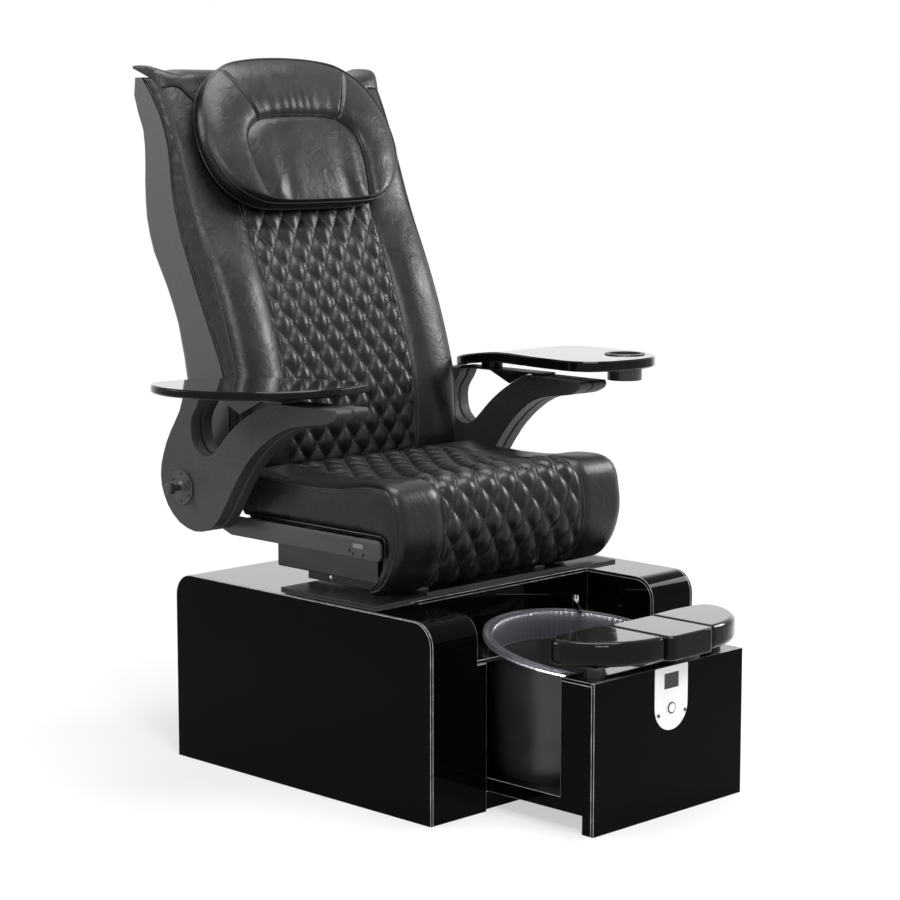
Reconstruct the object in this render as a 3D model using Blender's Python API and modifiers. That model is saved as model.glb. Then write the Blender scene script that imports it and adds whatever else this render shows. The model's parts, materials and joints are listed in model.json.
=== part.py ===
"""Pedicure spa chair: an acrylic base with a foot basin, and a powered massage chair on top.

Metres, +Z up. The chair faces -Y and its origin is on the floor under the middle of the base.
The seat and everything it carries is placed from the rear edge of the base's cut-out and from
the top of the seat board, so it follows the base and the stack of parts under the cushion.
"""

import math

import bmesh
import bpy
import numpy as np
from mathutils import Matrix, Vector

GAP = 0.0003  # between faces that touch
SHEET = 0.006  # acrylic sheet of the base and the foot box

# Base
BASE_WIDTH = 0.762
BASE_DEPTH = 0.744
BASE_HEIGHT = 0.385
BEND_RADIUS = 0.045
LEG_WIDTH = 0.150
CUTOUT_DEPTH = 0.180
LEDGE_HEIGHT = 0.290
LEDGE_WIDTH = 0.025
FLOOR_PLATE = 0.012
KICK_RECESS = 0.010
FRAME_TUBE = 0.025
FRAME_POST_INSET = 0.075

# Foot box
FOOT_BOX_WIDTH = 0.436
FOOT_BOX_REACH = 0.260
FOOT_BOX_HEIGHT = 0.290
COLUMN_DEPTH = 0.076
STRIP_TOP = 0.0625
STRIP_BOTTOM = 0.036
TOE_DEPTH = 0.022
FOOT_FLOOR_TOP = 0.060
FOOT_FLOOR_THICKNESS = 0.010

# Basin
BASIN_RADIUS = 0.1925
BASIN_WALL = 0.006
BASIN_FRONT_CLEARANCE = 0.013
BASIN_RIM = 0.300
BASIN_TILT = 0.030
BASIN_FLOOR = 0.081
BASIN_CORNER = 0.018  # reach of the hollow's rounded bottom corner
BASIN_FOOT = 0.012
BASIN_SEAM = 0.140
LINER_DEPTH = 0.040
LINER_THICKNESS = 0.0015
LINER_FLANGE = 0.010
DRAIN_OFFSET = 0.104
DRAIN_RADIUS = 0.028
DRAIN_PIPE_RADIUS = 0.020
JET_HEIGHT = 0.190
JET_RADIUS = 0.045
JET_THICKNESS = 0.012
JET_MOTOR_RADIUS = 0.040
JET_MOTOR_LENGTH = 0.110
TAP_X = 0.186
TAP_BEHIND_CENTRE = 0.1985
TAP_RADIUS = 0.014
TAP_HEIGHT = 0.040
TAP_REACH = 0.118

# Controls on the front panel
PLATE_WIDTH = 0.096
PLATE_DROP = 0.124
PLATE_THICKNESS = 0.002
WINDOW_WIDTH = 0.042
WINDOW_HEIGHT = 0.030
WINDOW_DROP = 0.013
BUTTON_RADIUS = 0.009
BUTTON_DROP = 0.081
BUTTON_PROUD = 0.003
BUTTON_STEM = 0.013
SCREW_RADIUS = 0.003

# Footrest
PAD_CLEARANCE = 0.020
PAD_THICKNESS = 0.048
PAD_ROUNDING = 0.012
PAD_SEAM = 0.001
PAD_REACH = 0.055
CENTRE_PAD_WIDTH = 0.130
SIDE_PAD_WIDTH = 0.169
FOOTREST_PLATE = 0.004
POST_RADIUS = 0.012
POST_X = 0.170
POST_SETBACK = 0.042
POST_DROP = 0.110

# Seat mechanism
SEAT_PLATE = 0.005
SEAT_PLATE_WIDTH = 0.696
SEAT_PLATE_DEPTH = 0.273
RAIL_X = 0.170
PLATE_LIP_X = 0.204
PLATE_LIP = 0.0055
RAIL_START = 0.052
RAIL_WIDTH = 0.030
RAIL_HEIGHT = 0.0195
CARRIAGE_PLATE = 0.004
CARRIAGE_WIDTH = 0.504
CARRIAGE_FRONT = 0.060
CARRIAGE_REAR = 0.300
PAN_WIDTH = 0.570
PAN_DEPTH = 0.295
PAN_FRONT = 0.062
PAN_HEIGHT = 0.0603
PAN_WALL = 0.003
SEAT_TUBE = 0.037
SEAT_BOARD = 0.0067
BOARD_FRONT = 0.010
BOARD_REAR = 0.405
BOARD_SIDE = 0.006
TUBE_FRONT = 0.030
TUBE_MIDDLE = 0.195
TUBE_REAR = 0.365
SPINE_REACH = 0.200
SIDE_RAIL_THICKNESS = 0.007
SIDE_RAIL_HEIGHT = 0.040
SIDE_RAIL_CLEARANCE = 0.0145
SHAFT_RADIUS = 0.011

# Seat cushion
SEAT_WIDTH = 0.644
SEAT_QUILT_HALF_WIDTH = 0.200
SEAT_DIAMONDS = 7
SEAT_QUILT_DEPTH = 0.010
SEAT_ROW = 0.0385
SEAT_BULGE = 0.006
SEAM_DIP = 0.002

# Back
BACK_WIDTH = 0.616
BACK_EDGE_SETBACK = 0.005
BACK_QUILT_HALF_WIDTH = 0.182
BACK_DIAMONDS = 7
BACK_QUILT_DEPTH = 0.009
BACK_ROW = 0.036
BACK_BULGE = 0.018
SHELL_WALL = 0.005
TRACK_LOW_Y = 0.545
TRACK_LOW_Z = 0.080
TRACK_HIGH_Y = 0.708
TRACK_HIGH_Z = 0.690
SHELL_OVERHANG = 0.002
BACK_SIDE_CLEARANCE = 0.010  # least room between the back and the side rails
RECLINE_Y = 0.510
RECLINE_Z = 0.003
BACK_TUBE = 0.016
TRACK_X = 0.100
ROLLER_RADIUS = 0.019
CARRIAGE_PARK = 0.080
PILLOW_TILT = 0.422
PILLOW_CENTRE_Z = 0.745
PILLOW_THICKNESS = 0.036
PILLOW_CROWN = 0.016
PILLOW_STANDOFF = 0.0037

# Arms
ARM_PIVOT_Y = 0.517
ARM_PIVOT_Z = 0.051
ARM_THICKNESS = 0.055
ARM_SPLIT = 0.026
ARM_SEAM = 0.0012  # parting groove between the two halves of an arm
ARM_INWARD_BEND = 0.041
ARM_OUTER_BEND = 0.012
ARM_TOP = 0.193
ARM_ROUNDING = 0.007
PIVOT_RADIUS = 0.012
PIVOT_CLEARANCE = 0.0005
FLANGE_RADIUS = 0.036
FLANGE_THICKNESS = 0.004
PEG_RADIUS = 0.007
PEG_HEAD_RADIUS = 0.0115
PEG_LENGTH = 0.040

# Trays
TRAY_PIVOT_X = 0.034  # outward from the arm's inner face
TRAY_PIVOT_Y = -0.125  # from the arm's pivot
TRAY_PIN_RADIUS = 0.008
TRAY_HUB_RADIUS = 0.024
BRACKET_PLATE = 0.004
LEFT_TRAY_THICKNESS = 0.017
LEFT_TRAY_LIFT = 0.0145
RIGHT_TRAY_THICKNESS = 0.022
RIGHT_TRAY_LIFT = 0.0205
RIGHT_TRAY_DROOP = 0.024
CUP_RADIUS = 0.037
CUP_WALL = 0.0025
CUP_FLANGE = 0.0065
CUP_DEPTH = 0.055
CUP_X = 0.125  # outward from the arm's inner face
CUP_Y = -0.431  # from the arm's pivot

# Levels and planes worked out from the sizes above
BASE_FRONT = -BASE_DEPTH / 2
BASE_REAR = BASE_DEPTH / 2
BASE_SIDE = BASE_WIDTH / 2
LEG_INNER = BASE_SIDE - LEG_WIDTH
CUT_REAR = BASE_FRONT + CUTOUT_DEPTH
FOOT_FRONT = BASE_FRONT - FOOT_BOX_REACH
BASIN_Y = FOOT_FRONT + SHEET + BASIN_FRONT_CLEARANCE + BASIN_RADIUS
SEAT_PLATE_TOP = BASE_HEIGHT + GAP + SEAT_PLATE
RAIL_TOP = SEAT_PLATE_TOP + GAP + RAIL_HEIGHT
CARRIAGE_TOP = RAIL_TOP + GAP + CARRIAGE_PLATE
PAN_TOP = CARRIAGE_TOP + GAP + PAN_HEIGHT
TUBE_TOP = PAN_TOP + GAP + SEAT_TUBE
BOARD_TOP = TUBE_TOP + GAP + SEAT_BOARD
BACK_HALF = BACK_WIDTH / 2 + SHELL_OVERHANG
RAIL_INNER = max(SEAT_WIDTH / 2 + SIDE_RAIL_CLEARANCE, BACK_HALF + BACK_SIDE_CLEARANCE)
RAIL_OUTER = RAIL_INNER + SIDE_RAIL_THICKNESS
ARM_INNER = RAIL_OUTER + 0.0008
ARM_OUTER = ARM_INNER + ARM_THICKNESS
ARM_Y = CUT_REAR + ARM_PIVOT_Y
ARM_Z = BOARD_TOP + ARM_PIVOT_Z
ARM_TOP_Z = ARM_Z + ARM_TOP
SHAFT_Y = CUT_REAR + RECLINE_Y
SHAFT_Z = BOARD_TOP + RECLINE_Z
PAD_BOTTOM = FOOT_BOX_HEIGHT + PAD_CLEARANCE + FOOTREST_PLATE + 2 * GAP

for old in list(bpy.data.objects):
    bpy.data.objects.remove(old, do_unlink=True)

chair = bpy.data.collections.new("pedicure_spa_chair")
cutters = bpy.data.collections.new("cutters")
bpy.context.scene.collection.children.link(chair)
bpy.context.scene.collection.children.link(cutters)


def material(name, colour, roughness, metallic=0.0):
    made = bpy.data.materials.new(name)
    made.use_nodes = True
    shader = made.node_tree.nodes["Principled BSDF"]
    shader.inputs["Base Color"].default_value = (*colour, 1.0)
    shader.inputs["Roughness"].default_value = roughness
    shader.inputs["Metallic"].default_value = metallic
    return made


acrylic = material("black_acrylic", (0.012, 0.012, 0.013), 0.06)
bowl_plastic = material("smoke_grey_plastic", (0.05, 0.05, 0.055), 0.3)
clear_plastic = material("clear_plastic", (0.75, 0.78, 0.8), 0.1)
silver_plate = material("silver_plate", (0.75, 0.75, 0.76), 0.35)
dark_window = material("dark_window", (0.03, 0.035, 0.04), 0.1)
pad_gloss = material("pad_gloss", (0.03, 0.032, 0.03), 0.12)
chrome = material("chrome", (0.8, 0.8, 0.8), 0.08, 1.0)
steel = material("zinc_steel", (0.5, 0.5, 0.52), 0.4, 1.0)
black_steel = material("black_steel", (0.02, 0.02, 0.022), 0.35, 0.5)
grey_paint = material("grey_paint", (0.16, 0.165, 0.165), 0.45)
leather = material("black_leather", (0.035, 0.037, 0.037), 0.42)
textured = material("textured_plastic", (0.06, 0.063, 0.066), 0.7)
tray_gloss = material("tray_gloss", (0.015, 0.015, 0.016), 0.05)
motor_grey = material("motor_grey", (0.12, 0.12, 0.13), 0.5)
wood = material("plywood", (0.45, 0.32, 0.2), 0.6)


def body(name, at=(0.0, 0.0, 0.0)):
    """An empty that stands on a joint's axis and carries the pieces that move together."""
    empty = bpy.data.objects.new(name, None)
    empty.location = at
    chair.objects.link(empty)
    return empty


def add(name, mesh, surface, carrier):
    """A finished piece, with its mesh in world coordinates, hung on its carrier."""
    piece = bpy.data.objects.new(name, mesh)
    mesh.materials.clear()
    mesh.materials.append(surface)
    chair.objects.link(piece)
    piece.parent = carrier
    piece.matrix_parent_inverse = Matrix.Translation(-Vector(carrier.location))
    return piece


def cutter(name, mesh):
    shape = bpy.data.objects.new(name, mesh)
    cutters.objects.link(shape)
    shape.hide_render = True
    shape.display_type = "WIRE"
    return shape


def combine(piece, mesh, operation):
    """A Boolean of the piece with a helper shape."""
    number = len(piece.modifiers)
    shape = cutter(f"{piece.name}_{operation.lower()}_{number}", mesh)
    boolean = piece.modifiers.new(shape.name, "BOOLEAN")
    boolean.operation = operation
    boolean.object = shape
    return piece


def cut(piece, mesh):
    return combine(piece, mesh, "DIFFERENCE")


def join(piece, mesh):
    return combine(piece, mesh, "UNION")


def soften(piece, width, segments=2, angle=35):
    """Rounded edges, at every edge sharper than this angle."""
    bevel = piece.modifiers.new("soften", "BEVEL")
    bevel.width = width
    bevel.segments = segments
    bevel.limit_method = "ANGLE"
    bevel.angle_limit = math.radians(angle)
    return piece


def soften_marked(piece, width, segments=2):
    """Rounded edges, at the edges marked in the mesh."""
    bevel = piece.modifiers.new("soften", "BEVEL")
    bevel.width = width
    bevel.segments = segments
    bevel.limit_method = "WEIGHT"
    return piece


def smooth(mesh, angle=35):
    mesh.shade_smooth()
    mesh.set_sharp_from_angle(angle=math.radians(angle))
    return mesh


def to_mesh(name, shape):
    """What the modifiers make of a helper object, as a mesh in world coordinates."""
    graph = bpy.context.evaluated_depsgraph_get()
    made = bpy.data.meshes.new_from_object(shape.evaluated_get(graph))
    made.name = name
    made.transform(shape.matrix_world)
    bpy.data.objects.remove(shape, do_unlink=True)
    worked = bmesh.new()
    worked.from_mesh(made)
    bmesh.ops.remove_doubles(worked, verts=worked.verts, dist=1e-6)
    bmesh.ops.recalc_face_normals(worked, faces=worked.faces)
    worked.to_mesh(made)
    worked.free()
    return made


def block(low, high):
    """A box between two corners."""
    low, high = Vector(low), Vector(high)
    made = bpy.data.meshes.new("block")
    worked = bmesh.new()
    bmesh.ops.create_cube(worked, size=1.0)
    bmesh.ops.scale(worked, vec=high - low, verts=worked.verts)
    bmesh.ops.translate(worked, vec=(low + high) / 2, verts=worked.verts)
    worked.to_mesh(made)
    worked.free()
    return made


PLANES = {  # plane of the outline, and the direction it is thickened in
    "XY": Matrix(((1, 0, 0), (0, 1, 0), (0, 0, 1))).to_4x4(),
    "YZ": Matrix(((0, 0, 1), (1, 0, 0), (0, 1, 0))).to_4x4(),
    "XZ": Matrix(((1, 0, 0), (0, 0, -1), (0, 1, 0))).to_4x4(),
}


def slab(plane, outline, start, end, curved=False, resolution=2):
    """A flat outline thickened from start to end. Corners marked 'corner' stay sharp."""
    flat = bpy.data.curves.new("outline", "CURVE")
    flat.dimensions = "2D"
    flat.fill_mode = "BOTH"
    flat.extrude = abs(end - start) / 2
    if curved:
        flat.resolution_u = resolution
        spline = flat.splines.new("BEZIER")
        spline.bezier_points.add(len(outline) - 1)
        for knot, point in zip(spline.bezier_points, outline):
            knot.co = (point[0], point[1], 0)
            kind = "VECTOR" if len(point) > 2 else "AUTO"
            knot.handle_left_type = knot.handle_right_type = kind
    else:
        spline = flat.splines.new("POLY")
        spline.points.add(len(outline) - 1)
        for knot, point in zip(spline.points, outline):
            knot.co = (point[0], point[1], 0, 1)
    spline.use_cyclic_u = True
    shape = bpy.data.objects.new("outline", flat)
    chair.objects.link(shape)
    turn = PLANES[plane]
    along = turn.to_3x3() @ Vector((0, 0, 1))
    sign = 1 if sum(along) > 0 else -1
    shape.matrix_world = Matrix.Translation(along * sign * (start + end) / 2) @ turn
    bpy.context.view_layer.update()
    made = to_mesh("slab", shape)
    worked = bmesh.new()
    worked.from_mesh(made)
    flat_angle = math.radians(0.2)
    bmesh.ops.dissolve_limit(worked, angle_limit=flat_angle, verts=worked.verts, edges=worked.edges)
    worked.to_mesh(made)
    worked.free()
    return made


def rounded(corners, steps=5):
    """An outline from corners (u, v, radius), each radius turned into an arc."""
    outline = []
    for index, (u, v, radius) in enumerate(corners):
        here = Vector((u, v))
        before = Vector(corners[index - 1][:2]) - here
        after = Vector(corners[(index + 1) % len(corners)][:2]) - here
        if radius <= 0:
            outline.append((u, v))
            continue
        half = before.angle(after) / 2
        middle = here + (before.normalized() + after.normalized()).normalized() * radius / math.sin(half)
        first = here + before.normalized() * radius / math.tan(half) - middle
        turn = first.angle_signed(here + after.normalized() * radius / math.tan(half) - middle)
        for step in range(steps + 1):
            spoke = first.copy()
            spoke.rotate(Matrix.Rotation(-turn * step / steps, 2))
            outline.append(tuple(middle + spoke))
    return outline


def circle(u, v, radius, steps=24):
    angles = [2 * math.pi * step / steps for step in range(steps)]
    return [(u + radius * math.cos(a), v + radius * math.sin(a)) for a in angles]


AXES = {
    "Z": Matrix.Identity(4),
    "X": Matrix.Rotation(math.pi / 2, 4, "Y"),
    "Y": Matrix.Rotation(-math.pi / 2, 4, "X"),
}


def turned(profile, at, axis="Z", steps=32):
    """A profile of (radius, height), outer side from top to bottom, spun about an axis."""
    line = bpy.data.meshes.new("profile")
    worked = bmesh.new()
    points = [worked.verts.new((radius, 0, height)) for radius, height in profile]
    for first, second in zip(points, points[1:]):
        worked.edges.new((first, second))
    worked.to_mesh(line)
    worked.free()
    shape = bpy.data.objects.new("turned", line)
    chair.objects.link(shape)
    screw = shape.modifiers.new("spin", "SCREW")
    screw.steps = screw.render_steps = steps
    screw.use_merge_vertices = True
    screw.merge_threshold = 0.00005
    shape.matrix_world = Matrix.Translation(at) @ AXES[axis]
    bpy.context.view_layer.update()
    return to_mesh("turned", shape)


def rod(at, axis, radius, start, end, steps=24):
    """A cylinder along an axis through a point, from start to end measured from it."""
    return turned([(0, end), (radius, end), (radius, start), (0, start)], at, axis, steps)


def loft(rings, corner_seams=()):
    """A closed body through rings of equal count. In the named quads the seam runs corner to corner."""
    made = bpy.data.meshes.new("loft")
    worked = bmesh.new()
    grid = [[worked.verts.new(point) for point in ring] for ring in rings]
    count = len(rings[0])
    for i, (ring, following) in enumerate(zip(grid, grid[1:])):
        for j in range(count):
            k = (j + 1) % count
            a, b, c, d = ring[j], ring[k], following[k], following[j]
            if (i, j) not in corner_seams:
                worked.faces.new((a, b, c, d))
            elif (i + j) % 2 == 0:
                worked.faces.new((a, b, d))
                worked.faces.new((b, c, d))
            else:
                worked.faces.new((a, b, c))
                worked.faces.new((a, c, d))
    worked.faces.new(grid[0][::-1])
    worked.faces.new(grid[-1])
    bmesh.ops.recalc_face_normals(worked, faces=worked.faces)
    worked.to_mesh(made)
    worked.free()
    return made


def mirrored(mesh):
    """The same shape on the other side of X = 0."""
    other = mesh.copy()
    other.transform(Matrix.Diagonal((-1, 1, 1, 1)))
    other.flip_normals()
    return other


def both_sides(name, mesh, surface, carriers):
    """The left piece is the mirror of the right one, which is modelled."""
    right = add(f"{name}_right", mesh, surface, carriers["right"])
    left = add(f"{name}_left", mirrored(mesh), surface, carriers["left"])
    return left, right


# Bodies, each on its joint's axis
root = body("base_body")
footrest = body("footrest_body", (0, FOOT_FRONT, FOOT_BOX_HEIGHT))
seat = body("seat_body", (0, CUT_REAR, RAIL_TOP))
back = body("back_body", (0, SHAFT_Y, SHAFT_Z))
arms = {
    "left": body("arm_left_body", (-ARM_INNER, ARM_Y, ARM_Z)),
    "right": body("arm_right_body", (ARM_INNER, ARM_Y, ARM_Z)),
}
tray_x = ARM_INNER + TRAY_PIVOT_X
tray_y = ARM_Y + TRAY_PIVOT_Y
trays = {
    "left": body("tray_left_body", (-tray_x, tray_y, ARM_TOP_Z)),
    "right": body("tray_right_body", (tray_x, tray_y, ARM_TOP_Z)),
}
fixed = {"left": root, "right": root}
on_seat = {"left": seat, "right": seat}


def base_outline(inset):
    """The base seen from the side, with rounded top corners, drawn inset by this much."""
    low, high = BASE_FRONT + inset, BASE_REAR - inset
    top, radius = BASE_HEIGHT - inset, BEND_RADIUS - inset
    return rounded([(low, 0, 0), (low, top, radius), (high, top, radius), (high, 0, 0)], 6)


def make_base():
    inside = SHEET + GAP
    side_inner = BASE_SIDE - inside
    outer, inner = base_outline(0), base_outline(SHEET)
    wrap = add("base_wrap", slab("YZ", outer + inner[::-1], -side_inner, side_inner), acrylic, root)
    cut(wrap, block((-LEG_INNER, BASE_FRONT - 0.1, -0.1), (LEG_INNER, CUT_REAR, BASE_HEIGHT + 0.1)))
    notch = LEG_INNER + LEDGE_WIDTH
    cut(wrap, block((-notch, BASE_FRONT - 0.1, LEDGE_HEIGHT), (notch, CUT_REAR, BASE_HEIGHT + 0.1)))
    panel = slab("YZ", outer, BASE_SIDE - SHEET, BASE_SIDE)
    both_sides("side_panel", panel, acrylic, fixed)

    top = BASE_HEIGHT - inside
    cheek = [
        (LEG_INNER, 0),
        (LEG_INNER, LEDGE_HEIGHT),
        (notch, LEDGE_HEIGHT),
        (notch, top),
        (notch + SHEET, top),
        (notch + SHEET, LEDGE_HEIGHT - SHEET),
        (LEG_INNER + SHEET, LEDGE_HEIGHT - SHEET),
        (LEG_INNER + SHEET, 0),
    ]
    cheek_mesh = slab("XZ", cheek, BASE_FRONT + inside, CUT_REAR)
    room = slab("YZ", base_outline(inside), -BASE_SIDE, BASE_SIDE)
    for wall in both_sides("inner_wall", cheek_mesh, acrylic, fixed):
        combine(wall, room.copy(), "INTERSECT")

    behind = CUT_REAR + GAP
    low, high = (-notch - SHEET, behind, FLOOR_PLATE + GAP), (notch + SHEET, behind + SHEET, top)
    backsplash = add("backsplash", block(low, high), acrylic, root)
    motor_hole = rod((0, BASIN_Y, JET_HEIGHT), "Y", JET_MOTOR_RADIUS + 0.002, 0, 2 * BASIN_RADIUS)
    cut(backsplash, motor_hole)
    plate = block((-side_inner, behind, 0), (side_inner, BASE_REAR - inside, FLOOR_PLATE))
    add("floor_plate", plate, wood, root)

    kick = BASE_FRONT + KICK_RECESS
    kick_top = STRIP_BOTTOM - GAP
    kick_width = LEG_INNER - GAP
    kick_mesh = block((-kick_width, kick, 0), (kick_width, kick + SHEET, kick_top))
    add("kick_panel", kick_mesh, acrylic, root)

    deck_low = LEDGE_HEIGHT + GAP
    deck_side = notch - GAP
    deck_mesh = block(
        (-deck_side, BASE_FRONT + inside, deck_low), (deck_side, CUT_REAR, deck_low + SHEET)
    )
    deck = add("basin_deck", deck_mesh, acrylic, root)
    cut(deck, rod((0, BASIN_Y, 0), "Z", BASIN_RADIUS + 0.001, 0, BASE_HEIGHT, 48))


def make_base_frame():
    """A welded tube table inside the base, under the seat's plate."""
    post_x = LEG_INNER + LEDGE_WIDTH + SHEET + FRAME_TUBE
    low_z, top = FLOOR_PLATE + GAP, BASE_HEIGHT - SHEET - GAP
    front = CUT_REAR + SHEET + 2 * GAP + 0.002
    rear = BASE_REAR - FRAME_POST_INSET
    frame = None
    for x in (-post_x, post_x - FRAME_TUBE):
        for y in (front, rear - FRAME_TUBE):
            post = block((x, y, low_z), (x + FRAME_TUBE, y + FRAME_TUBE, top))
            if frame is None:
                frame = add("base_frame", post, black_steel, root)
            else:
                join(frame, post)
        beam = block((x, front, top - FRAME_TUBE), (x + FRAME_TUBE, rear, top - 0.0001))
        join(frame, beam)
    for y in (front, rear - FRAME_TUBE):
        low = (-post_x, y + 0.001, top - FRAME_TUBE + 0.001)
        join(frame, block(low, (post_x, y + FRAME_TUBE - 0.001, top - 0.001)))


def make_foot_box():
    half = FOOT_BOX_WIDTH / 2
    inner = FOOT_FRONT + SHEET + GAP
    column_rear = inner + COLUMN_DEPTH
    front = block((-half, FOOT_FRONT, 0), (half, FOOT_FRONT + SHEET, FOOT_BOX_HEIGHT))
    panel = add("foot_box_front", front, acrylic, root)
    button_at = (0, FOOT_FRONT, FOOT_BOX_HEIGHT - BUTTON_DROP)
    cut(panel, rod(button_at, "Y", BUTTON_RADIUS + 0.0004, -0.05, 0.05))

    top = FOOT_BOX_HEIGHT - SHEET - GAP
    toe = inner + TOE_DEPTH
    side = [
        (inner, 0),
        (inner, top),
        (column_rear, top),
        (column_rear, STRIP_TOP),
        (CUT_REAR - GAP, STRIP_TOP),
        (CUT_REAR - GAP, STRIP_BOTTOM),
        (toe, STRIP_BOTTOM),
        (toe, 0),
    ]
    both_sides("foot_box_side", slab("YZ", side, half - SHEET, half), acrylic, fixed)

    lid = add(
        "foot_box_top",
        block((-half, inner, FOOT_BOX_HEIGHT - SHEET), (half, column_rear, FOOT_BOX_HEIGHT)),
        acrylic,
        root,
    )
    for x in (-POST_X, POST_X):
        at = (x, FOOT_FRONT + POST_SETBACK, FOOT_BOX_HEIGHT)
        cut(lid, rod(at, "Z", POST_RADIUS + 0.0004, -0.05, 0.05))

    floor_side = half - SHEET - GAP
    floor_low = FOOT_FLOOR_TOP - FOOT_FLOOR_THICKNESS
    low, high = (-floor_side, inner, floor_low), (floor_side, CUT_REAR - GAP, FOOT_FLOOR_TOP)
    floor = add("foot_box_floor", block(low, high), acrylic, root)
    drain = (0, BASIN_Y + DRAIN_OFFSET, 0)
    cut(floor, rod(drain, "Z", DRAIN_PIPE_RADIUS + 0.001, 0, BASIN_RIM))


def tilt_rim(mesh):
    """The rim is higher at the back than at the front."""
    start = BASIN_RIM - LINER_DEPTH - 0.03
    for vertex in mesh.vertices:
        share = min(max((vertex.co.z - start) / (BASIN_RIM - start), 0), 1)
        vertex.co.z += share * BASIN_TILT * (vertex.co.y - BASIN_Y) / BASIN_RADIUS
    return mesh


def make_basin():
    inside = BASIN_RADIUS - BASIN_WALL
    foot = BASIN_RADIUS - BASIN_FOOT
    stand = FOOT_FLOOR_TOP + GAP
    profile = [
        (inside + 0.001, BASIN_RIM),
        (BASIN_RADIUS - 0.001, BASIN_RIM),
        (BASIN_RADIUS, BASIN_RIM - 0.002),
        (BASIN_RADIUS, BASIN_RIM - LINER_DEPTH - 0.03),
        (BASIN_RADIUS, BASIN_SEAM + 0.004),
        (BASIN_RADIUS - 0.003, BASIN_SEAM),
        (BASIN_RADIUS - 0.003, BASIN_SEAM - 0.03),
        (foot, stand),
        (foot - 0.02, stand),
        (foot - 0.02, BASIN_FLOOR - BASIN_WALL),
        (0, BASIN_FLOOR - BASIN_WALL),
    ]
    hollow = [
        (0, BASIN_FLOOR),
        (inside - BASIN_CORNER, BASIN_FLOOR),
        (inside - BASIN_CORNER * 0.40, BASIN_FLOOR + BASIN_CORNER * 0.20),
        (inside - BASIN_CORNER * 0.20, BASIN_FLOOR + BASIN_CORNER * 0.80),
        (inside, BASIN_SEAM + 0.020),
        (inside, BASIN_RIM - LINER_DEPTH - 0.03),
        (inside, BASIN_RIM - 0.001),
        (inside + 0.001, BASIN_RIM),
    ]
    bowl_mesh = smooth(tilt_rim(turned(profile + hollow, (0, BASIN_Y, 0), "Z", 36)))
    bowl = add("basin_bowl", bowl_mesh, bowl_plastic, root)
    drain = (0, BASIN_Y + DRAIN_OFFSET, 0)
    cut(bowl, rod(drain, "Z", DRAIN_PIPE_RADIUS + 0.0005, FOOT_FLOOR_TOP, BASIN_RIM))

    clear, thick = inside - GAP, LINER_THICKNESS
    over = BASIN_RIM + GAP
    outside = BASIN_RADIUS + GAP
    liner = [
        (clear - thick, over + thick),
        (outside + LINER_FLANGE, over + thick - 0.002),
        (outside + LINER_FLANGE, over - 0.008),
        (outside + LINER_FLANGE - thick, over - 0.008),
        (outside + LINER_FLANGE - thick, over),
        (clear, over),
        (clear, over - LINER_DEPTH),
        (clear - thick, over - LINER_DEPTH),
        (clear - thick, over + thick),
    ]
    liner_mesh = smooth(tilt_rim(turned(liner, (0, BASIN_Y, 0), "Z", 36)))
    add("basin_liner", liner_mesh, clear_plastic, root)

    top = BASIN_FLOOR + GAP
    strainer = [
        (0, top + 0.004),
        (DRAIN_RADIUS - 0.004, top + 0.004),
        (DRAIN_RADIUS, top),
        (DRAIN_PIPE_RADIUS, top),
        (DRAIN_PIPE_RADIUS, STRIP_BOTTOM),
        (DRAIN_PIPE_RADIUS - 0.003, STRIP_BOTTOM),
        (DRAIN_PIPE_RADIUS - 0.003, top - 0.002),
        (0, top - 0.002),
    ]
    drain_mesh = smooth(turned(strainer, drain, "Z", 20))
    sieve = add("drain_strainer", drain_mesh, chrome, root)
    for index in range(5):
        turn = math.tau * index / 5
        hole = (0.012 * math.cos(turn), drain[1] + 0.012 * math.sin(turn), top)
        cut(sieve, rod(hole, "Z", 0.003, -0.01, 0.01, 6))

    # The cover stands off the curved wall by the wall's own sagitta.
    wall_y = BASIN_Y + math.sqrt((inside - GAP - 0.0006) ** 2 - JET_RADIUS**2)
    at = (0, wall_y, JET_HEIGHT)
    cover = [
        (0, -JET_THICKNESS),
        (JET_RADIUS - 0.008, -JET_THICKNESS),
        (JET_RADIUS, -JET_THICKNESS + 0.005),
        (JET_RADIUS, 0),
        (0, 0),
    ]
    jet = add("jet_cover", smooth(turned(cover[::-1], at, "Y", 24)), bowl_plastic, root)
    for index in range(5):
        turn = math.tau * (index + 0.25) / 5
        reach = JET_RADIUS * 0.5
        hole = (reach * math.cos(turn), wall_y, JET_HEIGHT + reach * math.sin(turn))
        cut(jet, rod(hole, "Y", JET_RADIUS * 0.15, -0.03, 0.03, 8))

    motor_front = BASIN_RADIUS + 0.0005
    motor = [
        (0, motor_front + JET_MOTOR_LENGTH),
        (JET_MOTOR_RADIUS * 0.6, motor_front + JET_MOTOR_LENGTH),
        (JET_MOTOR_RADIUS * 0.75, motor_front + JET_MOTOR_LENGTH - 0.012),
        (JET_MOTOR_RADIUS, motor_front + 0.055),
        (JET_MOTOR_RADIUS, motor_front),
        (0, motor_front),
    ]
    motor_mesh = smooth(turned(motor, (0, BASIN_Y, JET_HEIGHT), "Y", 24))
    add("jet_motor", motor_mesh, motor_grey, root)


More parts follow.
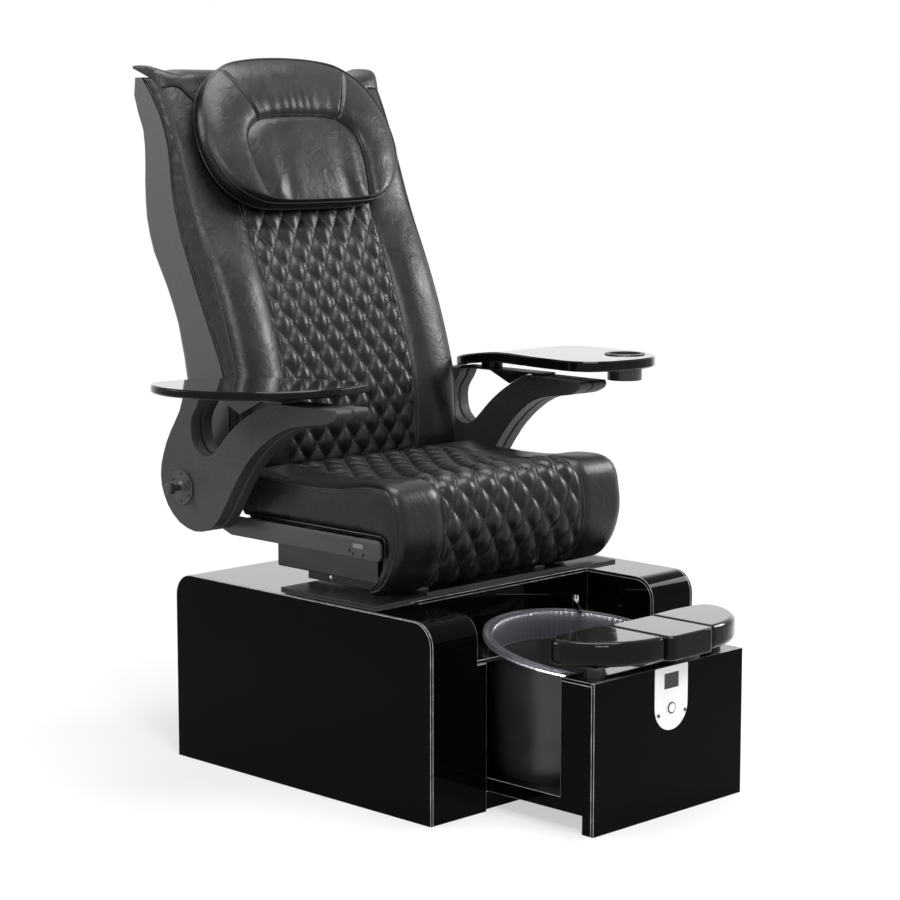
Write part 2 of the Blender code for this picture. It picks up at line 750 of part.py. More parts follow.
def make_tap():
    """A low tap on the deck, right of the bowl, with a spout over the rim and a lever on top."""
    y = BASIN_Y + TAP_BEHIND_CENTRE
    foot = LEDGE_HEIGHT + 2 * GAP + SHEET
    top = foot + TAP_HEIGHT
    base = [
        (0, top),
        (TAP_RADIUS - 0.002, top),
        (TAP_RADIUS - 0.002, foot + 0.006),
        (TAP_RADIUS, foot + 0.004),
        (TAP_RADIUS, foot),
        (0, foot),
    ]
    tap = add("faucet_body", smooth(turned(base, (TAP_X, y, 0), "Z", 24)), chrome, root)
    spout = rod((0, 0, 0), "Y", 0.0055, 0, TAP_REACH, 12)
    bearing = math.atan2(-TAP_X, BASIN_Y - y)
    spout.transform(Matrix.Translation((TAP_X, y, top - 0.0065)) @ Matrix.Rotation(-bearing, 4, "Z"))
    join(tap, spout)
    lever_body = body("faucet_lever_body", (TAP_X, y, top))
    knob = rod((TAP_X, y, top + GAP), "Z", TAP_RADIUS - 0.003, 0, 0.006, 20)
    lever = add("faucet_lever", knob, chrome, lever_body)
    bar = block((TAP_X - 0.004, y - 0.004, top + 0.002), (TAP_X + 0.004, y + 0.026, top + 0.006))
    join(lever, bar)


def make_controls():
    """A plate with a round lower end, a dark window and a round button that can be pressed."""
    half = PLATE_WIDTH / 2
    plate_front = FOOT_FRONT - GAP - PLATE_THICKNESS
    low = FOOT_BOX_HEIGHT - PLATE_DROP
    outline = rounded(
        [
            (-half, FOOT_BOX_HEIGHT, 0.003),
            (-half, low, half * 0.999),
            (half, low, half * 0.999),
            (half, FOOT_BOX_HEIGHT, 0.003),
        ],
        8,
    )
    plate = add(
        "control_plate", slab("XZ", outline, plate_front, FOOT_FRONT - GAP), silver_plate, root
    )
    window_top = FOOT_BOX_HEIGHT - WINDOW_DROP
    side, bottom = WINDOW_WIDTH / 2, window_top - WINDOW_HEIGHT
    cut(plate, block((-side, plate_front - 0.01, bottom), (side, FOOT_FRONT + 0.01, window_top)))
    button_z = FOOT_BOX_HEIGHT - BUTTON_DROP
    at = (0, FOOT_FRONT, button_z)
    cut(plate, rod(at, "Y", BUTTON_RADIUS + 0.0004, -0.02, 0.02))
    for x in (-0.035, 0.035):
        head = rod((x, plate_front, button_z - 0.010), "Y", SCREW_RADIUS, -0.0012, 0.001, 10)
        join(plate, head)

    glass = block(
        (-side + GAP, plate_front + 0.0004, bottom + GAP),
        (side - GAP, FOOT_FRONT - GAP, window_top - GAP),
    )
    add("display_window", glass, dark_window, root)

    face = -GAP - PLATE_THICKNESS - BUTTON_PROUD
    profile = [
        (0, BUTTON_STEM),
        (BUTTON_RADIUS, BUTTON_STEM),
        (BUTTON_RADIUS, face + 0.001),
        (BUTTON_RADIUS - 0.001, face),
        (0, face),
    ]
    button_body = body("control_button_body", at)
    add("control_button", smooth(turned(profile, at, "Y", 24)), silver_plate, button_body)


def make_footrest():
    front = BASE_FRONT - FOOT_BOX_REACH - PAD_REACH
    rear = FOOT_FRONT + 0.104
    half = CENTRE_PAD_WIDTH / 2
    bottom, top = PAD_BOTTOM, PAD_BOTTOM + PAD_THICKNESS
    centre = rounded(
        [(-half, rear, 0.006), (half, rear, 0.006), (half, front, 0.018), (-half, front, 0.018)], 3
    )
    pad = add("footrest_center", slab("XY", centre, bottom, top), pad_gloss, footrest)
    soften(pad, PAD_ROUNDING, 3, 50)

    inner, outer = half + PAD_SEAM, half + PAD_SEAM + SIDE_PAD_WIDTH
    side = [
        (inner, rear + 0.010, "corner"),
        (inner, front + 0.010, "corner"),
        (inner + 0.30 * SIDE_PAD_WIDTH, front + 0.016),
        (inner + 0.66 * SIDE_PAD_WIDTH, front + 0.042),
        (inner + 0.92 * SIDE_PAD_WIDTH, front + 0.092),
        (outer, front + 0.140),
        (outer - 0.012, rear + 0.002),
        (outer - 0.045, rear + 0.012),
    ]
    side_mesh = slab("XY", side, bottom, top, curved=True, resolution=3)
    for piece in both_sides("footrest", side_mesh, pad_gloss, {"left": footrest, "right": footrest}):
        soften(piece, PAD_ROUNDING, 3, 50)

    plate_low = FOOT_BOX_HEIGHT + PAD_CLEARANCE + GAP
    plate_high = plate_low + FOOTREST_PLATE
    low = (-POST_X - 0.03, FOOT_FRONT + 0.012, plate_low)
    high = (POST_X + 0.03, FOOT_FRONT + 0.090, plate_high)
    frame = add("footrest_frame", block(low, high), black_steel, footrest)
    for x in (-POST_X, POST_X):
        at = (x, FOOT_FRONT + POST_SETBACK, FOOT_BOX_HEIGHT)
        profile = [
            (0, PAD_CLEARANCE + 0.002),
            (POST_RADIUS + 0.008, PAD_CLEARANCE + 0.002),
            (POST_RADIUS + 0.008, GAP),
            (POST_RADIUS, GAP),
            (POST_RADIUS, -POST_DROP),
            (0, -POST_DROP),
        ]
        join(frame, turned(profile, at, "Z", 20))


def make_seat_mechanism():
    front = CUT_REAR + 0.002
    low = BASE_HEIGHT + GAP
    half = SEAT_PLATE_WIDTH / 2
    plate_mesh = block((-half, front, low), (half, front + SEAT_PLATE_DEPTH, SEAT_PLATE_TOP))
    plate = add("seat_base_plate", plate_mesh, black_steel, root)
    lip = PLATE_LIP_X
    lip_low, lip_top = low + 0.001, SEAT_PLATE_TOP + PLATE_LIP
    join(plate, block((-lip, front + 0.006, lip_low), (lip, front + 0.009, lip_top)))
    for x in (-lip, lip - 0.003):
        join(plate, block((x, front + 0.0061, lip_low), (x + 0.003, front + 0.070, lip_top - 0.0002)))

    rail_low = SEAT_PLATE_TOP + GAP
    rail_front, rail_rear = front + RAIL_START, front + SEAT_PLATE_DEPTH - 0.004
    wide, narrow, lip = RAIL_WIDTH / 2, RAIL_WIDTH / 2 - 0.007, 0.004
    section = [
        (RAIL_X - wide, rail_low),
        (RAIL_X + wide, rail_low),
        (RAIL_X + wide, rail_low + lip),
        (RAIL_X + narrow, rail_low + lip),
        (RAIL_X + narrow, RAIL_TOP),
        (RAIL_X - narrow, RAIL_TOP),
        (RAIL_X - narrow, rail_low + lip),
        (RAIL_X - wide, rail_low + lip),
    ]
    both_sides("slide_rail", slab("XZ", section, rail_front, rail_rear), steel, fixed)

    motor_y = front + 0.165
    motor = add(
        "slide_motor",
        block((-0.035, motor_y - 0.045, rail_low), (0.035, motor_y + 0.045, RAIL_TOP - 0.001)),
        motor_grey,
        root,
    )
    screw_at = (0, motor_y, (rail_low + RAIL_TOP) / 2)
    join(motor, rod(screw_at, "Y", 0.005, RAIL_START - 0.165, 0.020, 12))

    plate_low = RAIL_TOP + GAP
    half = CARRIAGE_WIDTH / 2
    nose, rear = CUT_REAR + CARRIAGE_FRONT, CUT_REAR + CARRIAGE_REAR
    carriage = add(
        "seat_carriage", block((-half, nose, plate_low), (half, rear, CARRIAGE_TOP)), black_steel, seat
    )
    for x in (-half, half - 0.003):
        low, high = (x, nose + 0.0001, rail_low + 0.0015), (x + 0.003, rear, CARRIAGE_TOP - 0.001)
        join(carriage, block(low, high))
    for y, radius in ((CUT_REAR + 0.235, 0.006), (CUT_REAR + 0.100, 0.004), (CUT_REAR + 0.080, 0.004)):
        hole_z = (rail_low + RAIL_TOP) / 2
        cut(carriage, rod((0, y, hole_z), "X", radius, -half - 0.05, half + 0.05, 12))

    pan_low = CARRIAGE_TOP + GAP
    half = PAN_WIDTH / 2
    pan_front = CUT_REAR + PAN_FRONT
    outer_low, outer_high = (-half, pan_front, pan_low), (half, pan_front + PAN_DEPTH, PAN_TOP)
    pan = add("seat_pan", block(outer_low, outer_high), grey_paint, seat)
    soften(pan, 0.004, 2)
    inner_low = (-half + PAN_WALL, pan_front + PAN_WALL, pan_low - 0.01)
    inner_high = (half - PAN_WALL, pan_front + PAN_DEPTH - PAN_WALL, PAN_TOP - PAN_WALL)
    cut(pan, block(inner_low, inner_high))
    carry_low = (-0.04, pan_front + 0.001, pan_low)
    carry_high = (0.04, pan_front + PAN_DEPTH - 0.001, PAN_TOP - 0.001)
    join(pan, block(carry_low, carry_high))


def make_seat_frame():
    """Three cross tubes between the side rails, a front-to-back tube, and a board on top."""
    low, high = PAN_TOP + GAP, TUBE_TOP
    half = RAIL_INNER - GAP
    tube = SEAT_TUBE
    rear_y = CUT_REAR + TUBE_REAR
    frame = None
    for y in (CUT_REAR + TUBE_FRONT, CUT_REAR + TUBE_MIDDLE, rear_y):
        bar = block((-half, y, low), (half, y + tube, high))
        if frame is None:
            frame = add("seat_frame", bar, black_steel, seat)
        else:
            join(frame, bar)
    for x in (-SPINE_REACH, SPINE_REACH - tube):
        spine = block((x, CUT_REAR + TUBE_FRONT + 0.001, low + 0.0005), (x + tube, rear_y + tube, high - 0.0005))
        join(frame, spine)

    board_low = TUBE_TOP + GAP
    side = SEAT_WIDTH / 2 - BOARD_SIDE
    board = block((-side, CUT_REAR + BOARD_FRONT, board_low), (side, CUT_REAR + BOARD_REAR, BOARD_TOP))
    add("seat_board", board, wood, seat)


def make_side_rails():
    """Flat bars beside the cushion, which rise at the rear to hold the arms' pivots."""
    top = TUBE_TOP + GAP + 0.003
    low = top - SIDE_RAIL_HEIGHT
    front = CUT_REAR - 0.006
    lug = FLANGE_RADIUS + 0.010
    outline = rounded(
        [
            (front, low, 0.008),
            (ARM_Y - 0.085, low, 0.020),
            (ARM_Y + lug - 0.008, ARM_Z - 0.052, 0.020),
            (ARM_Y + lug, ARM_Z + lug, 0.040),
            (ARM_Y - lug, ARM_Z + lug, 0.040),
            (ARM_Y - lug - 0.020, top, 0.015),
            (front, top, 0.012),
        ],
        4,
    )
    rail = slab("YZ", outline, RAIL_INNER, RAIL_OUTER)
    hole = rod((0, ARM_Y, ARM_Z), "X", PIVOT_RADIUS + PIVOT_CLEARANCE, -0.6, 0.6, 20)
    for piece in both_sides("side_rail", rail, grey_paint, on_seat):
        cut(piece, hole.copy())
    half = RAIL_INNER - GAP
    shaft = rod((0, SHAFT_Y, SHAFT_Z), "X", SHAFT_RADIUS, -half, half, 20)
    add("recline_shaft", smooth(shaft), steel, seat)


SEAT_PROFILE = (  # seams from under the front to the rear, (from the cut-out's rear edge, above the board)
    (0.042, -0.1215),
    (0.014, -0.109),
    (-0.011, -0.079),
    (-0.027, -0.042),
    (-0.034, -0.004),
    (-0.030, 0.036),
    (-0.022, 0.069),
    (-0.005, 0.089),
    (0.022, 0.096),
    (0.071, 0.094),
    (0.112, 0.086),
    (0.142, 0.083),
    (0.207, 0.080),
    (0.274, 0.081),
    (0.341, 0.085),
    (0.392, 0.088),
    (0.414, 0.078),
)
SEAT_UNDERSIDE = (
    (0.419, 0.040),
    (0.415, 0.000),
    (0.220, 0.000),
    (0.060, 0.000),
    (0.006, 0.000),
    (0.002, -0.030),
    (0.006, -0.065),
    (0.024, -0.092),
    (0.048, -0.108),
)


def along(path, step):
    """Points at about this spacing along a path of straight pieces, with its ends."""
    lengths = [0.0]
    for first, second in zip(path, path[1:]):
        lengths.append(lengths[-1] + math.dist(first, second))
    count = round(lengths[-1] / step)
    marks = np.linspace(0, lengths[-1], count + 1)
    axes = [np.interp(marks, lengths, [point[axis] for point in path]) for axis in (0, 1)]
    return [(float(u), float(v)) for u, v in zip(*axes)]


def quilt_columns(half_width, diamonds):
    """Two columns of points for each diamond, so each has a row of centres and of corners."""
    steps = 2 * diamonds
    return [half_width * (2 * step / steps - 1) for step in range(steps + 1)]


def make_seat_cushion():
    """Waterfall cushion: quilted middle, smooth bolsters, drawn in where the seams are."""
    half, seam = SEAT_WIDTH / 2, SEAT_QUILT_HALF_WIDTH
    quilt = quilt_columns(seam, SEAT_DIAMONDS)
    bolster = half - seam
    side = [seam + share * bolster for share in (0.10, 0.45, 0.85, 1.0)]
    stations = [-x for x in side[::-1]] + quilt + side
    base_z = BOARD_TOP + GAP
    profile = along(SEAT_PROFILE, SEAT_ROW)
    rows = len(profile)
    rings = []
    for column, x in enumerate(stations):
        beside = (abs(x) - seam) / bolster
        ring = []
        for row, (y, z) in enumerate(profile):
            before, after = profile[max(row - 1, 0)], profile[min(row + 1, rows - 1)]
            normal = Vector((before[1] - after[1], after[0] - before[0])).normalized()
            inside = 0 < row < rows - 1
            lift = 0
            if abs(x) < seam - 0.001 and inside:
                lift = SEAT_QUILT_DEPTH * ((column + row) % 2)
            elif abs(x) < seam + 0.001:
                lift = -SEAM_DIP
            elif beside < 0.95:
                lift = SEAT_BULGE * math.sin(math.pi * (0.15 + 0.75 * beside)) * (1 if inside else 0.3)
            point = Vector((y, z)) + normal * lift
            ring.append((x, CUT_REAR + point.x, base_z + point.y))
        for y, z in SEAT_UNDERSIDE:
            ring.append((x, CUT_REAR + y, base_z + z))
        rings.append(ring)
    first = len(side)
    seams = {(i, j) for i in range(first, first + 2 * SEAT_DIAMONDS) for j in range(rows - 1)}
    add("seat_cushion", smooth(loft(rings, seams), 60), leather, seat)


BACK_STATIONS = (  # height above the seat board; quilted face, zip line and rear, from the cut-out's rear edge
    (0.011, 0.439, 0.477, 0.592),
    (0.121, 0.435, 0.473, 0.607),
    (0.221, 0.438, 0.475, 0.622),
    (0.301, 0.457, 0.503, 0.637),
    (0.381, 0.483, 0.543, 0.657),
    (0.451, 0.510, 0.577, 0.692),
    (0.511, 0.536, 0.605, 0.730),
    (0.571, 0.563, 0.630, 0.752),
    (0.641, 0.591, 0.649, 0.757),
    (0.721, 0.620, 0.656, 0.753),
    (0.781, 0.644, 0.674, 0.759),
    (0.826, 0.664, 0.700, 0.788),
    (0.876, 0.690, 0.742, 0.770),
)
BACK_LOOSE = ((0.020, 0.1), (0.140, 1.0), (0.540, 1.0), (0.585, 0.2))  # how full it is at a height


def back_line(column, height):
    """Where the back's face (1), zip line (2) or rear (3) lies at a height above the seat board."""
    heights = [station[0] for station in BACK_STATIONS]
    return CUT_REAR + float(np.interp(height, heights, [s[column] for s in BACK_STATIONS]))


def back_heights():
    """Levels of the rows of diamonds, shared by the cushion and the shell so that their edges meet."""
    lowest, highest = BACK_STATIONS[0][0], BACK_STATIONS[-1][0]
    count = round((highest - lowest) / BACK_ROW)
    return [lowest + (highest - lowest) * row / count for row in range(count + 1)]


def make_back_cushion():
    """Quilted middle between two full bolsters, flattened where the pillow lies on it."""
    half, seam = BACK_WIDTH / 2, BACK_QUILT_HALF_WIDTH
    quilt = quilt_columns(seam, BACK_DIAMONDS)
    bulges = ((0.08, 0.3), (0.45, 1.0), (0.85, 0.64))
    side = [seam + share * (half - seam) for share, bulge in bulges]
    columns = [-x for x in side[::-1]] + quilt + side
    levels = back_heights()
    count = len(levels) - 1
    rings = []
    for row, height in enumerate(levels):
        z = BOARD_TOP + height
        full = float(np.interp(height, *zip(*BACK_LOOSE)))
        front = back_line(1, height) + (0.012 if row in (0, count) else 0)
        rear = back_line(2, height) - GAP
        ring = []
        for column, x in enumerate(columns):
            lift = 0
            if abs(x) > seam + 0.001:
                lift = BACK_BULGE * full * bulges[side.index(abs(x))][1]
            elif abs(x) < seam - 0.001 and 0 < row < count:
                lift = BACK_QUILT_DEPTH * full * ((column + row) % 2)
            ring.append((x, front - lift, z))
        edge = back_line(1, height) + BACK_EDGE_SETBACK
        ring += [(half, edge, z), (half + 0.001, (edge + rear) / 2, z), (half, rear, z)]
        ring += [(share * half, rear, z) for share in (0.5, 0, -0.5)]
        ring += [(-half, rear, z), (-half - 0.001, (edge + rear) / 2, z), (-half, edge, z)]
        rings.append(ring)
    first = len(side)
    seams = {(i, j) for i in range(count) for j in range(first, first + 2 * BACK_DIAMONDS)}
    add("back_cushion", smooth(loft(rings, seams), 60), leather, back)


SHELL_SECTION = ((1, 0), (1, 0.50), (0.995, 0.80), (0.965, 0.93), (0.88, 0.985))


def make_back_shell():
    """Moulded shell round the rear, hollow and open towards the cushion, on top of the shaft."""
    half = BACK_HALF
    section = list(SHELL_SECTION) + [(0, 1)] + [(-x, y) for x, y in SHELL_SECTION[::-1]]
    rings = []
    for height in back_heights():
        front, rear = back_line(2, height), back_line(3, height)
        z = BOARD_TOP + height
        rings.append([(x * half, front + y * (rear - front), z) for x, y in section])
    made = bpy.data.meshes.new("shell")
    worked = bmesh.new()
    grid = [[worked.verts.new(point) for point in ring] for ring in rings]
    for ring, following in zip(grid, grid[1:]):
        for a, b, c, d in zip(ring, ring[1:], following[1:], following):
            worked.faces.new((a, b, c, d))
    worked.faces.new(grid[0][::-1])
    worked.faces.new(grid[-1])
    bmesh.ops.recalc_face_normals(worked, faces=worked.faces)
    worked.to_mesh(made)
    worked.free()
    shell = add("back_shell", smooth(made), textured, back)
    wall = shell.modifiers.new("wall", "SOLIDIFY")
    wall.thickness = SHELL_WALL
    wall.offset = -1
    wall.use_even_offset = True
    z, reach = BOARD_TOP + BACK_STATIONS[0][0], 0.030
    window = ((-half * 0.9, SHAFT_Y - reach, z - reach), (half * 0.9, SHAFT_Y + reach, z + 3 * SHELL_WALL))
    cut(shell, block(*window))
    cut(shell, rod((0, SHAFT_Y, SHAFT_Z), "X", SHAFT_RADIUS + 0.001, -BASE_WIDTH, BASE_WIDTH, 20))


COVER_STATIONS = (  # (share of the half width, lift of the top, reach to the rear)
    (1.00, 0.0095, 0.000),
    (0.91, 0.0010, 0.004),
    (0.80, -0.0045, 0.006),
    (0.70, 0.0025, 0.006),
    (0.00, 0.0025, 0.006),
)


def make_shoulder_cover():
    """Leather cover over the top of the back, drawn out to a wing tip at each rear corner."""
    top = BACK_STATIONS[-1][0]
    z = BOARD_TOP + top + GAP
    front, rear = back_line(1, top) + 0.014, back_line(3, top)
    half = BACK_HALF
    stations = list(COVER_STATIONS) + [(-x, up, out) for x, up, out in COVER_STATIONS[-2::-1]]
    rings = []
    for share, up, out in stations:
        high = z + 0.015 + up
        section = [
            (front, z),
            (rear, z),
            (rear + out + 0.004, z + 0.008),
            (rear + out + 0.002, high),
            ((front + rear) / 2, high - 0.001),
            (front + 0.006, z + 0.009 + up / 2),
        ]
        rings.append([(share * half, y, level) for y, level in section])
    add("shoulder_cover", smooth(loft(rings), 50), leather, back)


PILLOW_OUTLINE = (  # right half from the bottom to the top, (across, up) from the pillow's middle
    (0.000, -0.159),
    (0.075, -0.159),
    (0.147, -0.155),
    (0.192, -0.139),
    (0.226, -0.113),
    (0.249, -0.078),
    (0.261, -0.033),
    (0.260, 0.016),
    (0.248, 0.062),
    (0.225, 0.103),
    (0.192, 0.134),
    (0.149, 0.156),
    (0.092, 0.166),
    (0.032, 0.170),
)
PILLOW_PANEL = (  # the same for the arched panel sewn into it
    (0.000, -0.143),
    (0.070, -0.143),
    (0.136, -0.141),
    (0.146, -0.128),
    (0.151, -0.103),
    (0.157, -0.072),
    (0.160, -0.040),
    (0.156, -0.012),
    (0.146, 0.008),
    (0.128, 0.024),
    (0.103, 0.034),
    (0.073, 0.039),
    (0.045, 0.041),
    (0.016, 0.0415),
)


def make_pillow():
    """Head pillow: arched panel, full ring round it drawn in at the seams, a gusset and a flat rear."""
    thick, crown = PILLOW_THICKNESS, PILLOW_CROWN
    layers = (  # (from the panel 0 or the outline 1, size, height above the rear)
        (0, 0.40, thick + crown * 0.75),
        (0, 0.85, thick + crown * 0.60),
        (0, 1.00, thick + crown * 0.20),
        (0.35, 1.00, thick + crown * 0.95),
        (0.70, 1.00, thick + crown * 0.85),
        (0.93, 1.00, thick + crown * 0.30),
        (1, 1.00, thick),
        (1, 1.015, thick * 0.50),
        (1, 1.00, 0.003),
        (1, 0.85, 0.0),
    )
    up = Vector((0, math.sin(PILLOW_TILT), math.cos(PILLOW_TILT)))
    out = Vector((0, -up.z, up.y))
    height = PILLOW_CENTRE_Z
    rear = Vector((0, back_line(1, height), BOARD_TOP + height)) + out * PILLOW_STANDOFF
    rings = []
    for share, size, depth in layers:
        half = []
        for panel, outline in zip(PILLOW_PANEL, PILLOW_OUTLINE):
            half.append(Vector(panel).lerp(Vector(outline), share) * size)
        whole = half + [Vector((-p.x, p.y)) for p in half[:0:-1]]
        rings.append([rear + Vector((p.x, 0, 0)) + up * p.y + out * depth for p in whole])
    add("head_pillow", smooth(loft(rings), 60), leather, back)


def make_back_frame():
    """Steel frame of the back: two uprights with hinge ears on the shaft, which guide the massage carriage."""
    low, high = track_ends()
    direction = (high - low).normalized()
    across = Vector((0, direction.z, -direction.y))
    tube = BACK_TUBE / 2
    frame = None
    for x in (-TRACK_X, TRACK_X):
        side = [
            (low - across * tube).yz,
            (high - across * tube).yz,
            (high + across * tube).yz,
            (low + across * tube).yz,
        ]
        upright = slab("YZ", [tuple(p) for p in side], x - tube, x + tube)
        ear = slab("YZ", circle(SHAFT_Y, SHAFT_Z, SHAFT_RADIUS + 0.010, 20), x - tube + 0.001, x + tube - 0.001)
        link = slab(
            "YZ",
            [
                (SHAFT_Y - 0.010, SHAFT_Z),
                (SHAFT_Y + 0.012, SHAFT_Z),
                tuple((low + direction * 0.03 + across * tube * 0.8).yz),
                tuple((low + direction * 0.03 - across * tube * 0.8).yz),
            ],
            x - tube + 0.002,
            x + tube - 0.002,
        )
        if frame is None:
            frame = add("back_frame", upright, black_steel, back)
        else:
            join(frame, upright)
        join(frame, ear)
        join(frame, link)
    for end, sign in ((low, 1), (high, -1)):
        middle = end + direction * sign * 0.014
        bar = rod((0, middle.y, middle.z), "X", tube * 0.8, -TRACK_X, TRACK_X, 12)
        join(frame, bar)
    cut(frame, rod((0, SHAFT_Y, SHAFT_Z), "X", SHAFT_RADIUS + 0.0004, -0.5, 0.5, 20))


def track_ends():
    """Lower and upper end of the massage track, in the room between cushion and shell."""
    low = Vector((0, CUT_REAR + TRACK_LOW_Y, BOARD_TOP + TRACK_LOW_Z))
    high = Vector((0, CUT_REAR + TRACK_HIGH_Y, BOARD_TOP + TRACK_HIGH_Z))
    return low, high


def make_massage():
    low, high = track_ends()
    direction = (high - low).normalized()
    across = Vector((0, direction.z, -direction.y))
    start = low + direction * CARRIAGE_PARK
    carriage_body = body("massage_carriage_body", tuple(start))
    half = TRACK_X - BACK_TUBE / 2 - 0.0008
    corners = [
        start - direction * 0.035 - across * 0.004,
        start + direction * 0.035 - across * 0.004,
        start + direction * 0.035 + across * 0.004,
        start - direction * 0.035 + across * 0.004,
    ]
    plate = slab("YZ", [tuple(p.yz) for p in corners], -half, half)
    carriage = add("massage_carriage", plate, motor_grey, carriage_body)
    axle = start - across * 0.0265
    for x in (-0.055, 0.045):
        ear = slab(
            "YZ",
            [
                tuple((start - direction * 0.010).yz),
                tuple((start + direction * 0.010).yz),
                tuple((axle + direction * 0.007 - across * 0.006).yz),
                tuple((axle - direction * 0.007 - across * 0.006).yz),
            ],
            x,
            x + 0.010,
        )
        join(carriage, ear)
    cut(carriage, rod(tuple(axle), "X", 0.0045, -0.2, 0.2, 16))
    roller_body = body("massage_roller_body", tuple(axle))
    wheel, outer = 0.060, 0.085
    profile = [
        (0, outer),
        (ROLLER_RADIUS - 0.005, outer),
        (ROLLER_RADIUS, outer - 0.006),
        (ROLLER_RADIUS, wheel + 0.006),
        (ROLLER_RADIUS - 0.005, wheel),
        (0.004, wheel),
        (0.004, -wheel),
        (ROLLER_RADIUS - 0.005, -wheel),
        (ROLLER_RADIUS, -wheel - 0.006),
        (ROLLER_RADIUS, -outer + 0.006),
        (ROLLER_RADIUS - 0.005, -outer),
        (0, -outer),
    ]
    roller = smooth(turned(profile, tuple(axle), "X", 20))
    add("massage_roller", roller, motor_grey, roller_body)


def make_recline_motor():
    """Linear actuator under the seat board, between the rear cross tube and the shaft."""
    low = PAN_TOP + GAP
    y = CUT_REAR + 0.285
    box = block((0.02, y, low), (0.09, y + 0.075, TUBE_TOP - 0.002))
    motor = add("recline_motor", box, motor_grey, seat)
    at = (0.055, y, (low + TUBE_TOP) / 2)
    join(motor, rod(at, "Y", 0.012, -0.050, 0.01, 12))


ARM_OUTLINE = (  # outer face of an arm, (forward is minus, up) from its pivot
    (-0.452, 0.184),
    (-0.437, 0.171),
    (-0.412, 0.163),
    (-0.380, 0.159),
    (-0.342, 0.153),
    (-0.300, 0.141),
    (-0.262, 0.120),
    (-0.230, 0.096),
    (-0.197, 0.064),
    (-0.150, 0.000),
    (-0.122, -0.042),
    (-0.098, -0.069),
    (-0.060, -0.085),
    (-0.015, -0.083),
    (0.030, -0.060),
    (0.060, -0.020),
    (0.069, 0.018),
    (0.060, 0.062),
    (0.035, 0.112),
    (0.006, 0.155),
    (-0.008, ARM_TOP, "corner"),
    (-0.062, ARM_TOP, "corner"),
    (-0.050, 0.170),
    (-0.033, 0.145),
    (-0.031, 0.115),
    (-0.040, 0.088),
    (-0.064, 0.072),
    (-0.092, 0.074),
    (-0.116, 0.093),
    (-0.146, 0.122),
    (-0.184, 0.151),
    (-0.222, 0.172),
    (-0.270, ARM_TOP, "corner"),
    (-0.448, ARM_TOP, "corner"),
)
ARM_BEND_START = -0.150
ARM_BEND_LENGTH = 0.300


def arm_shell(outline, start, end, face):
    """Half of an arm, with one face's rim marked for rounding. Its forward part bends to the sitter."""
    mesh = slab("YZ", outline, start, end, curved=True, resolution=2)
    worked = bmesh.new()
    worked.from_mesh(mesh)
    for step in range(5):
        y = ARM_Y + ARM_BEND_START - ARM_BEND_LENGTH * (step + 0.1) / 5
        geometry = worked.verts[:] + worked.edges[:] + worked.faces[:]
        bmesh.ops.bisect_plane(worked, geom=geometry, plane_co=(0, y, 0), plane_no=(0, 1, 0))
    marks = worked.edges.layers.float.new("bevel_weight_edge")
    for edge in worked.edges:
        on_face = all(abs(vertex.co.x - face) < 1e-5 for vertex in edge.verts)
        edge[marks] = 1.0 if on_face and edge.calc_face_angle(0) > 1 else 0.0
    for vertex in worked.verts:
        forward = (ARM_Y + ARM_BEND_START - vertex.co.y) / ARM_BEND_LENGTH
        share = min(max(forward, 0), 1)
        share = share * share * (3 - 2 * share)
        depth = (vertex.co.x - ARM_INNER) / ARM_THICKNESS
        vertex.co.x -= share * (ARM_INWARD_BEND + depth * (ARM_OUTER_BEND - ARM_INWARD_BEND))
    worked.to_mesh(mesh)
    worked.free()
    return smooth(mesh)


def make_arms():
    outline = [(ARM_Y + p[0], ARM_Z + p[1], *p[2:]) for p in ARM_OUTLINE]
    split = ARM_INNER + ARM_SPLIT
    hole = rod((0, ARM_Y, ARM_Z), "X", PIVOT_RADIUS + GAP, -1, 1, 20)
    for name, start, end, face in (
        ("arm_inner", ARM_INNER, split, ARM_INNER),
        ("arm_outer", split + ARM_SEAM, ARM_OUTER, ARM_OUTER),
    ):
        for piece in both_sides(name, arm_shell(outline, start, end, face), textured, arms):
            soften_marked(piece, ARM_ROUNDING, 2)
            cut(piece, hole.copy())

    pin_start = RAIL_INNER - ARM_OUTER - GAP
    profile = [
        (0, PEG_LENGTH),
        (PEG_HEAD_RADIUS - 0.003, PEG_LENGTH),
        (PEG_HEAD_RADIUS, PEG_LENGTH - 0.003),
        (PEG_HEAD_RADIUS, PEG_LENGTH - 0.014),
        (PEG_RADIUS, PEG_LENGTH - 0.018),
        (PEG_RADIUS, FLANGE_THICKNESS + 0.004),
        (PEG_RADIUS + 0.006, FLANGE_THICKNESS),
        (FLANGE_RADIUS - 0.001, FLANGE_THICKNESS),
        (FLANGE_RADIUS, FLANGE_THICKNESS - 0.001),
        (FLANGE_RADIUS, 0),
        (PIVOT_RADIUS, 0),
        (PIVOT_RADIUS, pin_start),
        (0, pin_start),
    ]
    at = (ARM_OUTER + GAP, ARM_Y, ARM_Z)
    for piece in both_sides("arm_pivot", smooth(turned(profile, at, "X", 24)), grey_paint, arms):
        side = -1 if piece.name.endswith("left") else 1
        for index in range(6):
            turn = math.tau * (index + 0.5) / 6
            reach = FLANGE_RADIUS - 0.008
            y, z = ARM_Y + reach * math.cos(turn), ARM_Z + reach * math.sin(turn)
            x = side * (ARM_OUTER + FLANGE_THICKNESS)
            join(piece, rod((x, y, z), "X", 0.003, -0.002, 0.0015, 6))


